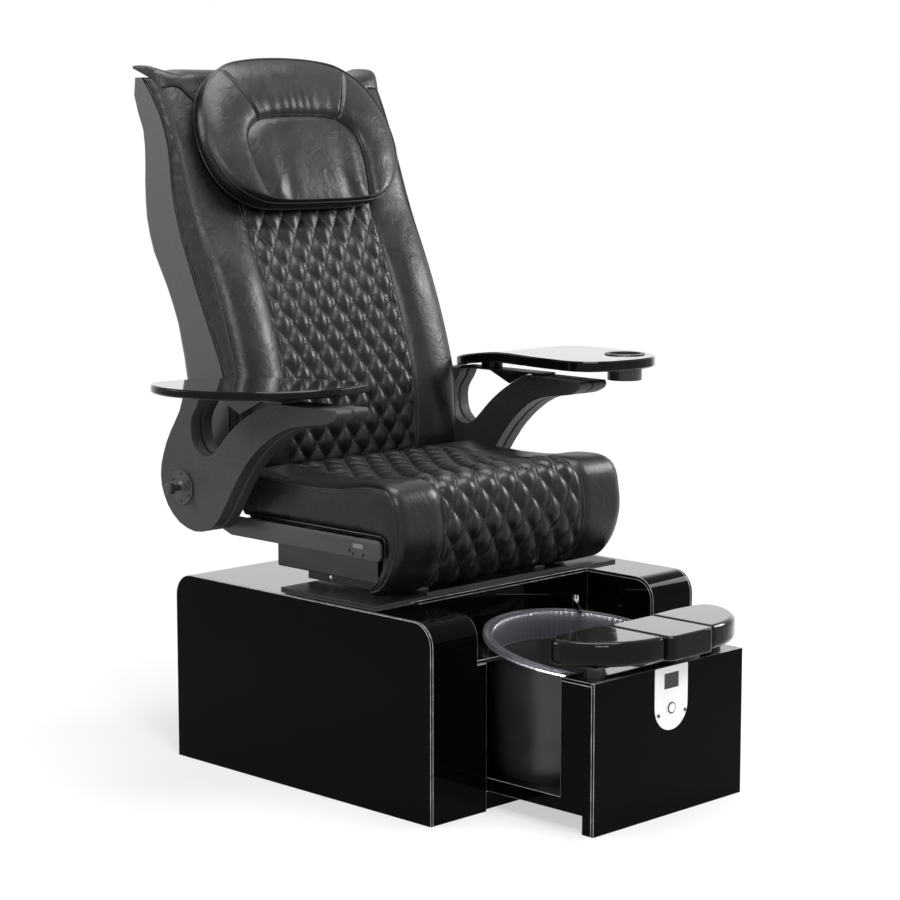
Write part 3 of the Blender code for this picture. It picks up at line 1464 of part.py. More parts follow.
def make_brackets():
    """A flat plate on the arm's top, a triangular web down into the notch, and the tray's pin."""
    low = ARM_TOP_Z + GAP
    high = low + BRACKET_PLATE
    start, end = ARM_INNER + 0.006, ARM_OUTER - 0.006
    plate = block((start, ARM_Y - 0.300, low), (end, ARM_Y - 0.055, high))
    web = rounded(
        [
            (ARM_Y - 0.240, low + 0.001, 0),
            (ARM_Y - 0.172, ARM_Z + 0.1630, 0.003),
            (ARM_Y - 0.100, low + 0.001, 0),
        ],
        3,
    )
    for piece in both_sides("tray_bracket", plate, black_steel, arms):
        side = -1 if piece.name.endswith("left") else 1
        edges = sorted((side * (end - 0.010), side * (end - 0.002)))
        join(piece, slab("YZ", web, *edges))
        at = (side * tray_x, tray_y, low)
        join(piece, rod(at, "Z", TRAY_PIN_RADIUS, 0.001, BRACKET_PLATE + 0.015, 16))


LEFT_TRAY = (  # plan of the left tray, (outward from the arm's inner face, from the arm's pivot)
    (-0.016, -0.407, "corner"),
    (0.062, -0.395),
    (0.130, -0.362),
    (0.190, -0.298),
    (0.222, -0.215),
    (0.220, -0.125),
    (0.182, -0.072),
    (0.105, -0.074),
    (0.030, -0.110),
    (-0.045, -0.185),
    (-0.095, -0.280),
    (-0.112, -0.360),
    (-0.105, -0.385, "corner"),
)
RIGHT_TRAY = (
    (0.000, -0.050),
    (-0.018, -0.160),
    (-0.045, -0.270),
    (-0.065, -0.380),
    (-0.058, -0.478),
    (-0.010, -0.512, "corner"),
    (0.108, -0.518),
    (0.172, -0.470),
    (0.200, -0.370),
    (0.200, -0.280),
    (0.180, -0.205),
    (0.115, -0.188),
    (0.066, -0.140),
    (0.056, -0.050),
    (0.028, -0.032),
)


def make_trays():
    hub_low = ARM_TOP_Z + BRACKET_PLATE + 2 * GAP
    for side, plan, lift, thickness in (
        ("left", LEFT_TRAY, LEFT_TRAY_LIFT, LEFT_TRAY_THICKNESS),
        ("right", RIGHT_TRAY, RIGHT_TRAY_LIFT, RIGHT_TRAY_THICKNESS),
    ):
        sign = -1 if side == "left" else 1
        outline = [(sign * (ARM_INNER + p[0]), ARM_Y + p[1], *p[2:]) for p in plan]
        bottom = hub_low + lift
        board = slab("XY", outline, bottom, bottom + thickness, curved=True, resolution=4)
        if side == "right":
            droop(board)
        tray = add(f"tray_{side}", smooth(board), tray_gloss, trays[side])
        soften(tray, 0.003, 1, 50)
        at = (sign * tray_x, tray_y, hub_low)
        join(tray, rod(at, "Z", TRAY_HUB_RADIUS, 0, lift + 0.002, 24))
        cut(tray, rod(at, "Z", TRAY_PIN_RADIUS + 0.0005, -0.01, 0.0155, 16))
        if side == "right":
            cup_at = (ARM_INNER + CUP_X, ARM_Y + CUP_Y, bottom)
            cut(tray, rod(cup_at, "Z", CUP_RADIUS + 0.0005, -0.05, 0.05, 32))
            make_cup(cup_at, thickness)


def droop(mesh):
    """The rear of the right tray slopes down to the arm."""
    worked = bmesh.new()
    worked.from_mesh(mesh)
    for y in (-0.187, -0.149, -0.104, -0.071):
        geometry = worked.verts[:] + worked.edges[:] + worked.faces[:]
        bmesh.ops.bisect_plane(worked, geom=geometry, plane_co=(0, ARM_Y + y, 0), plane_no=(0, 1, 0))
    for vertex in worked.verts:
        behind = (vertex.co.y - ARM_Y + 0.225) / 0.193
        share = min(max(behind, 0), 1)
        vertex.co.z -= RIGHT_TRAY_DROOP * share ** 1.5
    worked.to_mesh(mesh)
    worked.free()


def make_cup(at, thickness):
    top = thickness + GAP
    inner = CUP_RADIUS - CUP_WALL
    profile = [
        (inner, top + 0.002),
        (CUP_RADIUS + CUP_FLANGE - 0.001, top + 0.002),
        (CUP_RADIUS + CUP_FLANGE, top + 0.001),
        (CUP_RADIUS + CUP_FLANGE, top),
        (CUP_RADIUS, top),
        (CUP_RADIUS, top - CUP_DEPTH),
        (0, top - CUP_DEPTH),
        (0, top - CUP_DEPTH + CUP_WALL),
        (inner, top - CUP_DEPTH + CUP_WALL),
        (inner, top + 0.002),
    ]
    add("cup_holder", smooth(turned(profile, at, "Z", 32)), bowl_plastic, trays["right"])


make_base()
make_base_frame()
make_foot_box()
make_basin()
make_tap()
make_controls()
make_footrest()
make_seat_mechanism()
make_seat_frame()
make_side_rails()
make_seat_cushion()
make_back_cushion()
make_back_shell()
make_shoulder_cover()
make_pillow()
make_back_frame()
make_massage()
make_recline_motor()
make_arms()
make_brackets()
make_trays()
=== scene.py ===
import json
import math

import bpy
import numpy as np
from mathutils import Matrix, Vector, noise

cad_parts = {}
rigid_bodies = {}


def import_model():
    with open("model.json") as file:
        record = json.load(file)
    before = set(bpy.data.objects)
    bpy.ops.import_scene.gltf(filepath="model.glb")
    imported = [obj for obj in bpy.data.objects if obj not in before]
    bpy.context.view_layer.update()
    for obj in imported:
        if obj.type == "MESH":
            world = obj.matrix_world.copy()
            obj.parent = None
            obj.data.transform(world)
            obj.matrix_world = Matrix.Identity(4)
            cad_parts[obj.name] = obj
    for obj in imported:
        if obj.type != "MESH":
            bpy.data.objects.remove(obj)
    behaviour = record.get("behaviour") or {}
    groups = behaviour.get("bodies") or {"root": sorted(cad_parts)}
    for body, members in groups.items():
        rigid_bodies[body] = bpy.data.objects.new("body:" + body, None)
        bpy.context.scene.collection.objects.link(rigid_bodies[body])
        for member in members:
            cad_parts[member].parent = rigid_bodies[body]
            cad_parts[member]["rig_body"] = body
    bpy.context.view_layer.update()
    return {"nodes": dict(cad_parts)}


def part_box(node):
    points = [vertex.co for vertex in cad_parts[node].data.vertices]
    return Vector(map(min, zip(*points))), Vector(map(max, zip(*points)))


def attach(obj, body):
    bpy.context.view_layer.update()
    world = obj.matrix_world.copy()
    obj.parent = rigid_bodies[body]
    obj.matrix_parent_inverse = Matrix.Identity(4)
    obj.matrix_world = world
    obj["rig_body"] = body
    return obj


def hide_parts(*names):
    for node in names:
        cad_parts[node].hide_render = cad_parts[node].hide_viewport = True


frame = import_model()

nodes = frame["nodes"]

# ---- Studio: a pale floor that fades to white, soft lamps, and the camera at the chair's front
# left. Nothing here is part of the chair.
FLOOR_SIZE = 24.0
FADE_START, FADE_END = 1.0, 2.2  # metres from the chair where the floor turns to plain white
FLOOR_COLOUR = (0.80, 0.80, 0.80, 1)
FLOOR_GLOW = 0.55
WHITE = (1, 1, 1, 1)
AMBIENT = 0.42
CAMERA_PLACE = (-3.497, -3.517, 1.326)
CAMERA_TURN = (math.radians(90 - 7.89), 0, math.radians(-45.20))
CAMERA_LENS = 97.8
CAMERA_SENSOR = 36
LAMPS = (  # (name, place, aimed at, width, watts)
    ("key", (-1.9, -2.9, 3.0), (0, 0, 0.9), 1.1, 95),
    ("overhead", (0.3, -0.2, 3.2), (0, 0.1, 0.5), 1.5, 85),
    ("side_strip", (3.0, -1.2, 2.1), (0.1, 0, 0.9), 1.0, 80),
    ("rear_strip", (-2.4, 2.2, 2.3), (0, 0.3, 1.0), 0.9, 60),
)


def new_material(name):
    """An empty node material, as (material, tree, output)."""
    made = bpy.data.materials.new(name)
    made.use_nodes = True
    made.node_tree.nodes.clear()
    return made, made.node_tree, made.node_tree.nodes.new("ShaderNodeOutputMaterial")


def shader_node(tree, kind, inputs=None, **settings):
    """One node with its settings; an input is a number, a colour or another node's socket."""
    made = tree.nodes.new("ShaderNode" + kind)
    for name, value in settings.items():
        setattr(made, name, value)
    for name, value in (inputs or {}).items():
        if isinstance(value, bpy.types.NodeSocket):
            tree.links.new(value, made.inputs[name])
        else:
            made.inputs[name].default_value = value
    return made


def seen_directly(tree):
    """1 where the camera, a mirror or glass sees the surface, 0 where it only lights others."""
    path = shader_node(tree, "LightPath")
    seen = path.outputs["Is Camera Ray"]
    for name in ("Is Glossy Ray", "Is Transmission Ray"):
        seen = shader_node(tree, "Math", {0: seen, 1: path.outputs[name]}, operation="MAXIMUM").outputs[0]
    return seen


bpy.ops.object.select_all(action="DESELECT")
bpy.ops.mesh.primitive_plane_add(size=FLOOR_SIZE)
floor = bpy.context.object
floor.name = "studio_floor"
surface, tree, out = new_material("pale_floor")
place = shader_node(tree, "TexCoord").outputs["Object"]
distance = shader_node(tree, "VectorMath", {0: place}, operation="LENGTH").outputs["Value"]
fade = shader_node(
    tree, "MapRange", {"Value": distance, 1: FADE_START, 2: FADE_END, 3: FLOOR_GLOW, 4: 1.0},
    interpolation_type="SMOOTHSTEP",
).outputs[0]
share = shader_node(tree, "Math", {0: fade, 1: seen_directly(tree)}, operation="MULTIPLY").outputs[0]
matt = shader_node(tree, "BsdfDiffuse", {"Color": FLOOR_COLOUR}).outputs[0]
glow = shader_node(tree, "Emission", {"Color": WHITE, "Strength": 1.0}).outputs[0]
tree.links.new(shader_node(tree, "MixShader", {0: share, 1: matt, 2: glow}).outputs[0], out.inputs[0])
floor.data.materials.append(surface)

world = bpy.data.worlds.new("studio")
bpy.context.scene.world = world
world.use_nodes = True
tree = world.node_tree
tree.nodes.clear()
ambient = shader_node(tree, "Background", {"Color": WHITE, "Strength": AMBIENT}).outputs[0]
backdrop = shader_node(tree, "Background", {"Color": WHITE, "Strength": 1.0}).outputs[0]
mixed = shader_node(tree, "MixShader", {0: seen_directly(tree), 1: ambient, 2: backdrop}).outputs[0]
tree.links.new(mixed, tree.nodes.new("ShaderNodeOutputWorld").inputs[0])

for name, spot, target, width, watts in LAMPS:
    bpy.ops.object.light_add(type="AREA", location=spot)
    lamp = bpy.context.object
    lamp.name = name
    lamp.data.energy = watts
    lamp.data.size = width
    lamp.rotation_euler = (Vector(target) - Vector(spot)).to_track_quat("-Z", "Y").to_euler()

bpy.ops.object.camera_add(location=CAMERA_PLACE, rotation=CAMERA_TURN)
camera = bpy.context.object
camera.data.lens = CAMERA_LENS
camera.data.sensor_width = CAMERA_SENSOR
bpy.context.scene.camera = camera
bpy.context.scene.view_settings.view_transform = "Standard"

# ---- Base: sheets of black gloss acrylic, bent over the top and glued at polished edges, with a
# plain ply floor. The edges are broken by hand, and each eased edge gets a pale grey painted
# highlight, so it shows as a thin bright line.
ACRYLIC_EDGE = 0.0009
ACRYLIC_PANELS = (
    "base_wrap", "side_panel_left", "side_panel_right", "inner_wall_left", "inner_wall_right", "backsplash",
    "kick_panel", "basin_deck",
)


def grain_group():
    """Small cells over fine noise as a height, and broad soft blotches, for every finish here."""
    group = bpy.data.node_groups.new("fine_grain", "ShaderNodeTree")
    for name, value in (("Cells", 500.0), ("Blotches", 8.0)):
        group.interface.new_socket(name, in_out="INPUT", socket_type="NodeSocketFloat").default_value = value
    for name in ("Height", "Shade"):
        group.interface.new_socket(name, in_out="OUTPUT", socket_type="NodeSocketFloat")
    given, result = group.nodes.new("NodeGroupInput"), group.nodes.new("NodeGroupOutput")
    place = shader_node(group, "TexCoord").outputs["Object"]
    cells = shader_node(
        group, "TexVoronoi", {"Vector": place, "Scale": given.outputs["Cells"]}, feature="SMOOTH_F1"
    ).outputs["Distance"]
    rough = shader_node(
        group, "TexNoise", {"Vector": place, "Scale": given.outputs["Cells"], "Detail": 3.0}
    ).outputs[0]
    height = shader_node(group, "Math", {0: cells, 1: rough}, operation="ADD").outputs[0]
    blotch = shader_node(
        group, "TexNoise", {"Vector": place, "Scale": given.outputs["Blotches"], "Detail": 4.0, "Roughness": 0.6}
    ).outputs[0]
    shade = shader_node(group, "MapRange", {"Value": blotch, 1: 0.35, 2: 0.65, 3: 0.0, 4: 1.0}).outputs[0]
    group.links.new(height, result.inputs["Height"])
    group.links.new(shade, result.inputs["Shade"])
    return group


GRAIN = grain_group()


def finish(name, low, high, gloss, cells, depth, blotches=8.0, metallic=0.0, creases=0.0, **shader_values):
    """A surface whose colour and roughness drift between two values, over a fine grain this deep.

    Creases are the depth of the soft wrinkles that leather has besides its grain.
    """
    surface, tree, out = new_material(name)
    grain = shader_node(tree, "Group", node_tree=GRAIN)
    grain.inputs["Cells"].default_value = cells
    grain.inputs["Blotches"].default_value = blotches
    colour = shader_node(tree, "Mix", data_type="RGBA")
    tree.links.new(grain.outputs["Shade"], colour.inputs[0])
    colour.inputs[6].default_value = (*low, 1)
    colour.inputs[7].default_value = (*high, 1)
    rough = shader_node(
        tree, "MapRange", {"Value": grain.outputs["Shade"], 1: 0.0, 2: 1.0, 3: gloss[0], 4: gloss[1]}
    ).outputs[0]
    bump = shader_node(
        tree, "Bump", {"Height": grain.outputs["Height"], "Distance": depth, "Strength": 0.6}
    ).outputs[0]
    if creases:
        place = shader_node(tree, "TexCoord").outputs["Object"]
        wrinkle = shader_node(tree, "TexNoise", {"Vector": place, "Scale": 26.0, "Detail": 3.0, "Distortion": 1.6})
        bump = shader_node(
            tree, "Bump", {"Height": wrinkle.outputs[0], "Distance": creases, "Strength": 1.0, "Normal": bump}
        ).outputs[0]
    shader = shader_node(
        tree, "BsdfPrincipled",
        {"Base Color": colour.outputs[2], "Roughness": rough, "Metallic": metallic, "Normal": bump},
    )
    for socket, value in shader_values.items():
        shader.inputs[socket.replace("_", " ")].default_value = value
    tree.links.new(shader.outputs[0], out.inputs[0])
    return surface


def only(piece):
    """Selects just this piece and makes it the active one."""
    bpy.ops.object.select_all(action="DESELECT")
    piece.select_set(True)
    bpy.context.view_layer.objects.active = piece


def apply_all(piece):
    """Applies every modifier on this piece."""
    only(piece)
    for modifier in list(piece.modifiers):
        bpy.ops.object.modifier_apply(modifier=modifier.name)


def copy_of(node, name):
    """The CAD piece's shape as a new mesh with its loose triangles joined into whole faces."""
    piece = bpy.data.objects.new(name, nodes[node].data.copy())
    bpy.context.scene.collection.objects.link(piece)
    only(piece)
    bpy.ops.object.mode_set(mode="EDIT")
    bpy.ops.mesh.select_all(action="SELECT")
    bpy.ops.mesh.remove_doubles(threshold=0.00001)
    bpy.ops.mesh.dissolve_limited(angle_limit=math.radians(1))
    bpy.ops.object.mode_set(mode="OBJECT")
    return piece


def coat(piece, surface):
    """Gives the whole piece this one finish."""
    piece.data.materials.clear()
    piece.data.materials.append(surface)


def stand_for(piece, node, body, surface):
    """The finished piece rides with the CAD piece's body and is shown in its place."""
    coat(piece, surface)
    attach(piece, body)
    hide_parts(node)


def break_edges(node, body, surface, width, segments=2, angle=35, rim=None, clamp=True):
    """A CAD piece with its sharp edges eased, and with a finish of their own where a rim is given."""
    piece = copy_of(node, node + "_finished")
    piece.data.materials.append(rim)
    bevel = piece.modifiers.new("eased", "BEVEL")
    bevel.width = width
    bevel.segments = segments
    bevel.limit_method = "ANGLE"
    bevel.angle_limit = math.radians(angle)
    bevel.material = 1 if rim else -1
    bevel.use_clamp_overlap = clamp
    apply_all(piece)
    edged = [face.material_index for face in piece.data.polygons]
    bpy.ops.object.shade_smooth_by_angle(angle=math.radians(50))
    flats = piece.modifiers.new("flats", "WEIGHTED_NORMAL")
    flats.keep_sharp = True
    flats.weight = 100
    apply_all(piece)
    stand_for(piece, node, body, surface)
    if rim:
        piece.data.materials.append(rim)
        piece.data.polygons.foreach_set("material_index", edged)
    return piece



def gloss_aslant(surface, start, end, index):
    """A clear coat that shows where the surface is seen aslant, as on black gloss sheet."""
    tree = surface.node_tree
    shader = next(node for node in tree.nodes if node.type == "BSDF_PRINCIPLED")
    facing = shader_node(tree, "LayerWeight", {"Blend": 0.5}).outputs["Facing"]
    weight = shader_node(tree, "MapRange", {"Value": facing, 1: start, 2: end, 3: 0.0, 4: 1.0}).outputs[0]
    tree.links.new(weight, shader.inputs["Coat Weight"])
    shader.inputs["Coat Roughness"].default_value = 0.04
    shader.inputs["Coat IOR"].default_value = index


acrylic = finish(
    "gloss_black_acrylic", (0.0010, 0.0010, 0.0011), (0.0014, 0.0014, 0.0016), (0.03, 0.06), 90.0, 0.00001,
    blotches=5.0, Specular_IOR_Level=0.03,
)
gloss_aslant(acrylic, 0.58, 0.76, 2.6)
# Pale grey painted highlight for the eased edges of the black sheet, standing in for the light they catch.
painted_edge_highlight = finish(
    "painted_sheet_edge_highlight", (0.16, 0.16, 0.165), (0.34, 0.34, 0.35), (0.18, 0.30), 200.0, 0.00002, blotches=40.0
)
for panel in ACRYLIC_PANELS:
    break_edges(panel, "base", acrylic, ACRYLIC_EDGE, rim=painted_edge_highlight)

ply = finish(
    "birch_ply", (0.30, 0.19, 0.10), (0.42, 0.29, 0.17), (0.55, 0.75), 260.0, 0.0002, blotches=22.0
)
coat(nodes["floor_plate"], ply)

# ---- Base frame and pump: square steel tube, painted satin black, and the grey motor housing
# behind the basin. None of it shows from outside.
frame_paint = finish(
    "satin_black_paint", (0.010, 0.010, 0.011), (0.016, 0.016, 0.017), (0.34, 0.46), 700.0, 0.00008
)
motor_shell = finish(
    "motor_grey_plastic", (0.10, 0.105, 0.11), (0.13, 0.135, 0.14), (0.42, 0.55), 520.0, 0.0001
)
coat(nodes["base_frame"], frame_paint)
coat(nodes["jet_motor"], motor_shell)

# ---- Foot box: five sheets of the same acrylic, glued into a box in front of the base, with an
# open window on each side of the basin.
# The box's eased edges get the same pale grey painted highlight.
for panel in ("foot_box_front", "foot_box_side_left", "foot_box_side_right", "foot_box_top", "foot_box_floor"):
    break_edges(panel, "base", acrylic, ACRYLIC_EDGE, rim=painted_edge_highlight)

# ---- Basin: a blow-moulded bowl in smoke-grey plastic with a rolled seam, and a clear ribbed
# liner band clipped over its rim. The strainer and the jet cover are pressed into it.
bowl_plastic = finish(
    "smoke_grey_plastic", (0.018, 0.018, 0.021), (0.025, 0.025, 0.028), (0.30, 0.38), 300.0, 0.00004,
)
BASIN_Y = -0.4205
BASIN_RADIUS = 0.1925
BASIN_WALL = 0.006
BASIN_RIM = 0.300
RIM_TILT = 0.030  # rise of the rim over one radius towards the rear
RIM_ZONE = 0.070  # the tilt fades out this far below the rim
LINER_RIBS = 110
LINER_RIB_DEPTH = 0.0019
LINER_SECTION = (  # (from the bowl's inner wall, below the top, how deep the ribs are there)
    (-0.0018, 0.0, 0.0), (0.0005, -0.0016, 0.0), (0.010, -0.0012, 0.0), (0.0162, 0.0, 0.0), (0.0166, -0.009, 0.4),
    (0.0152, -0.009, 0.4), (0.0148, -0.0024, 0.0), (0.0052, -0.0022, 0.0), (-0.0003, -0.0026, 0.0),
    (-0.0008, -0.008, 1.0), (-0.0008, -0.038, 1.0), (-0.0006, -0.0413, 0.0), (-0.0022, -0.0413, 0.0),
    (-0.0026, -0.038, 1.0), (-0.0026, -0.006, 1.0),
)
clear, tree, out = new_material("clear_liner_plastic")
ripple = shader_node(
    tree, "TexNoise", {"Vector": shader_node(tree, "TexCoord").outputs["Object"], "Scale": 60.0}
).outputs[0]
bump = shader_node(tree, "Bump", {"Height": ripple, "Distance": 0.0006, "Strength": 0.5}).outputs[0]
glass = shader_node(
    tree, "BsdfPrincipled",
    {"Base Color": (0.62, 0.63, 0.70, 1), "Roughness": 0.07, "IOR": 1.50, "Transmission Weight": 0.93, "Normal": bump},
)
tree.links.new(glass.outputs[0], out.inputs[0])
bowl = copy_of("basin_bowl", "smooth_bowl")
bpy.ops.object.shade_smooth_by_angle(angle=math.radians(28))
stand_for(bowl, "basin_bowl", "base", bowl_plastic)
coat(nodes["jet_cover"], bowl_plastic)


def skin(name, rings, wrap=False):
    """A closed mesh through rings of points; the ends are capped, or joined where it wraps round."""
    rings = np.array(rings, float)
    count, around = rings.shape[:2]
    faces = []
    for i in range(count if wrap else count - 1):
        following = (i + 1) % count
        for j in range(around):
            k = (j + 1) % around
            faces.append((i * around + j, i * around + k, following * around + k, following * around + j))
    if not wrap:
        faces.append(tuple(range(around))[::-1])
        faces.append(tuple((count - 1) * around + j for j in range(around)))
    mesh = bpy.data.meshes.new(name)
    mesh.from_pydata(rings.reshape(-1, 3).tolist(), [], faces)
    piece = bpy.data.objects.new(name, mesh)
    bpy.context.scene.collection.objects.link(piece)
    only(piece)
    bpy.ops.object.mode_set(mode="EDIT")
    bpy.ops.mesh.select_all(action="SELECT")
    bpy.ops.mesh.normals_make_consistent(inside=False)
    bpy.ops.object.mode_set(mode="OBJECT")
    bpy.ops.object.shade_smooth()
    return piece


rings = []
for turn in np.linspace(0, math.tau, 6 * LINER_RIBS + 1)[:-1]:
    rib = 0.5 - 0.5 * math.cos(turn * LINER_RIBS)
    ring = []
    for offset, below, ribbed in LINER_SECTION:
        radius = BASIN_RADIUS - BASIN_WALL + offset - LINER_RIB_DEPTH * rib * ribbed
        z = BASIN_RIM + 0.0018 + below
        tilt = RIM_TILT * math.sin(turn) * radius / BASIN_RADIUS * min(1, (z - BASIN_RIM + RIM_ZONE) / RIM_ZONE)
        ring.append((radius * math.cos(turn), BASIN_Y + radius * math.sin(turn), z + tilt))
    rings.append(ring)
liner = skin("ribbed_liner", rings, wrap=True)
stand_for(liner, "basin_liner", "base", clear)
chrome = finish(
    "chrome_plate", (0.62, 0.63, 0.65), (0.74, 0.75, 0.77), (0.07, 0.14), 240.0, 0.00002, metallic=1.0
)
coat(nodes["drain_strainer"], chrome)

# ---- Tap: a small spout in chromed brass, fixed through the ledge from below, with a lever
# handle that turns on its rear end.
break_edges("faucet_body", "base", chrome, 0.0012)
break_edges("faucet_lever", "faucet_lever", chrome, 0.0015, 3)

# ---- Controls: a pale metal plate screwed to the foot box, a dark display window and a round
# push button with a pressed ring.
PLATE_SCREW_X, PLATE_SCREW_Z = 0.0385, 0.199
PLATE_SCREW_RADIUS = 0.0032
plate_metal = finish(
    "pale_plate", (0.78, 0.78, 0.79), (0.84, 0.84, 0.85), (0.20, 0.30), 600.0, 0.00003, metallic=0.15
)
frame_trim = finish(
    "dark_trim", (0.006, 0.006, 0.007), (0.010, 0.010, 0.011), (0.25, 0.35), 300.0, 0.00002
)
window_glass = finish(
    "dark_display", (0.006, 0.006, 0.007), (0.010, 0.010, 0.012), (0.08, 0.12), 120.0, 0.00001
)
break_edges("control_plate", "base", plate_metal, 0.0005)
break_edges("display_window", "base", window_glass, 0.0004)
break_edges("control_button", "control_button", plate_metal, 0.0008)
button_low, button_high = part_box("control_button")
plate_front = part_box("control_plate")[0].y
bpy.ops.mesh.primitive_torus_add(
    location=(0, plate_front, (button_low.z + button_high.z) / 2), rotation=(math.pi / 2, 0, 0), major_segments=48,
    minor_segments=8, major_radius=(button_high.x - button_low.x) / 2 + 0.0012, minor_radius=0.0009,
)
ring = bpy.context.object
ring.name = "button_ring"
marks = [ring]
for x in (-PLATE_SCREW_X, PLATE_SCREW_X):
    bpy.ops.mesh.primitive_cylinder_add(
        vertices=24, radius=PLATE_SCREW_RADIUS, depth=0.0022, location=(x, plate_front - 0.0003, PLATE_SCREW_Z),
        rotation=(math.pi / 2, 0, 0),
    )
    screw = bpy.context.object
    screw.name = "plate_screw_" + ("left" if x < 0 else "right")
    crown = screw.modifiers.new("crown", "BEVEL")
    crown.width, crown.segments, crown.limit_method = 0.0008, 2, "ANGLE"
    marks.append(screw)
for mark in marks:
    only(mark)
    bpy.ops.object.transform_apply(location=True, rotation=True, scale=True)
    apply_all(mark)
    bpy.ops.object.shade_smooth_by_angle(angle=math.radians(40))
    coat(mark, frame_trim)
    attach(mark, "base")

# ---- Footrest: three pads with a thick black gloss skin over shaped blocks, on a steel plate
# with two posts that slide in the foot box.
pad_gloss = finish(
    "pad_gloss", (0.0030, 0.0036, 0.0026), (0.0050, 0.0056, 0.0042), (0.07, 0.12), 160.0, 0.00003,
    blotches=6.0, creases=0.0005, Specular_IOR_Level=0.12,
)
gloss_aslant(pad_gloss, 0.60, 0.80, 2.0)
for pad in ("footrest_center", "footrest_left", "footrest_right"):
    break_edges(pad, "footrest", pad_gloss, 0.0025, 3, 25)
coat(nodes["footrest_frame"], frame_paint)

# ---- Seat slide: powder-coated steel plate and carriage with zinc rails, a motor between them,
# and the grey sheet-metal apron box that hides the mechanism.
zinc = finish(
    "zinc_steel", (0.42, 0.43, 0.44), (0.52, 0.53, 0.55), (0.28, 0.42), 420.0, 0.00004, metallic=1.0
)
grey_paint = finish(
    "satin_grey_paint", (0.015, 0.0155, 0.0165), (0.021, 0.0215, 0.0225), (0.34, 0.46), 800.0, 0.00006
)
for node in ("seat_base_plate", "seat_carriage"):
    break_edges(node, nodes[node]["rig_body"], frame_paint, 0.0008)
for node in ("slide_rail_left", "slide_rail_right", "recline_shaft"):
    coat(nodes[node], zinc)
for node in ("slide_motor", "recline_motor", "massage_carriage", "massage_roller"):
    coat(nodes[node], motor_shell)
break_edges("seat_pan", "seat", frame_paint, 0.0012)
coat(nodes["seat_frame"], frame_paint)
coat(nodes["back_frame"], frame_paint)
# The seat board's ply is coloured near black where its edge shows under the cushion.
dark_ply = finish(
    "near_black_ply", (0.010, 0.008, 0.007), (0.016, 0.013, 0.011), (0.5, 0.7), 260.0, 0.0002, blotches=22.0
)
coat(nodes["seat_board"], dark_ply)

# ---- Side rails: flat steel bars beside the cushion, in satin grey paint. They are bolted to
# the seat and carry the arms; three holes and a bare label show on each.
RAIL_OUTER = 0.3435
RAIL_HOLES = ((-0.113, 0.4885), (-0.1235, 0.4825), (-0.1515, 0.483))  # (along the chair, height)
RAIL_LABEL = (-0.1365, 0.4995, 0.028, 0.0085)  # middle, width and height of the bare label
label_metal = finish(
    "bare_label", (0.11, 0.11, 0.115), (0.15, 0.15, 0.155), (0.35, 0.45), 500.0, 0.00003
)
for side, sign in (("left", -1), ("right", 1)):
    rail = break_edges("side_rail_" + side, "seat", grey_paint, 0.0012, 2)
    for y, z in RAIL_HOLES:
        bpy.ops.mesh.primitive_cylinder_add(
            vertices=24, radius=0.0036, depth=0.004, location=(sign * RAIL_OUTER, y, z), rotation=(0, math.pi / 2, 0)
        )
        drill = bpy.context.object
        hole = rail.modifiers.new("hole", "BOOLEAN")
        hole.operation, hole.object = "DIFFERENCE", drill
        apply_all(rail)
        bpy.data.objects.remove(drill)
    y, z, width, height = RAIL_LABEL
    bpy.ops.mesh.primitive_cube_add(location=(sign * (RAIL_OUTER + 0.0002), y, z))
    label = bpy.context.object
    label.name = "rail_label_" + side
    label.scale = (0.0003, width / 2, height / 2)
    bpy.ops.object.transform_apply(location=True, rotation=True, scale=True)
    rounding = label.modifiers.new("corners", "BEVEL")
    rounding.width = 0.0002
    apply_all(label)
    coat(label, label_metal)
    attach(label, "seat")

# ---- Seat cushion: foam under near-black leather. The middle is quilted in diamonds, the
# bolsters are smooth, and piping runs round both side panels, which are pulled in at the seams.
CUT_REAR = -0.192  # rear edge of the base's cut-out, which the seat's profile is drawn from
BOARD_TOP = 0.5196
SEAT_HALF = 0.322
SEAT_SEAM = 0.200
SEAT_DIAMONDS = 7
SEAT_HALF_ROWS = 17
QUILT_STEPS = 6  # points along the side of each half diamond
SEAT_PUFF = 0.0105
SEAT_PROFILE = (
    (0.042, -0.1215), (0.014, -0.109), (-0.011, -0.079), (-0.027, -0.042), (-0.034, -0.004), (-0.030, 0.036),
    (-0.022, 0.069), (-0.005, 0.089), (0.022, 0.096), (0.071, 0.094), (0.112, 0.086), (0.142, 0.083),
    (0.207, 0.080), (0.274, 0.081), (0.341, 0.085), (0.392, 0.088), (0.414, 0.078),
)
SEAT_UNDERSIDE = (
    (0.048, -0.108), (0.024, -0.092), (0.006, -0.065), (0.002, -0.030), (0.006, 0.0), (0.220, 0.0),
    (0.415, 0.0), (0.419, 0.040),
)
PIPING = 0.0024
ON_LEATHER = 0.0004  # thread lies this far above the leather
UPWARDS = 0.0104  # a second point above the leather, which gives the thread's outward direction
BESIDE_SEAM = (-0.0045, 0.0055)  # the two rows of stitches beside a bolster's seam


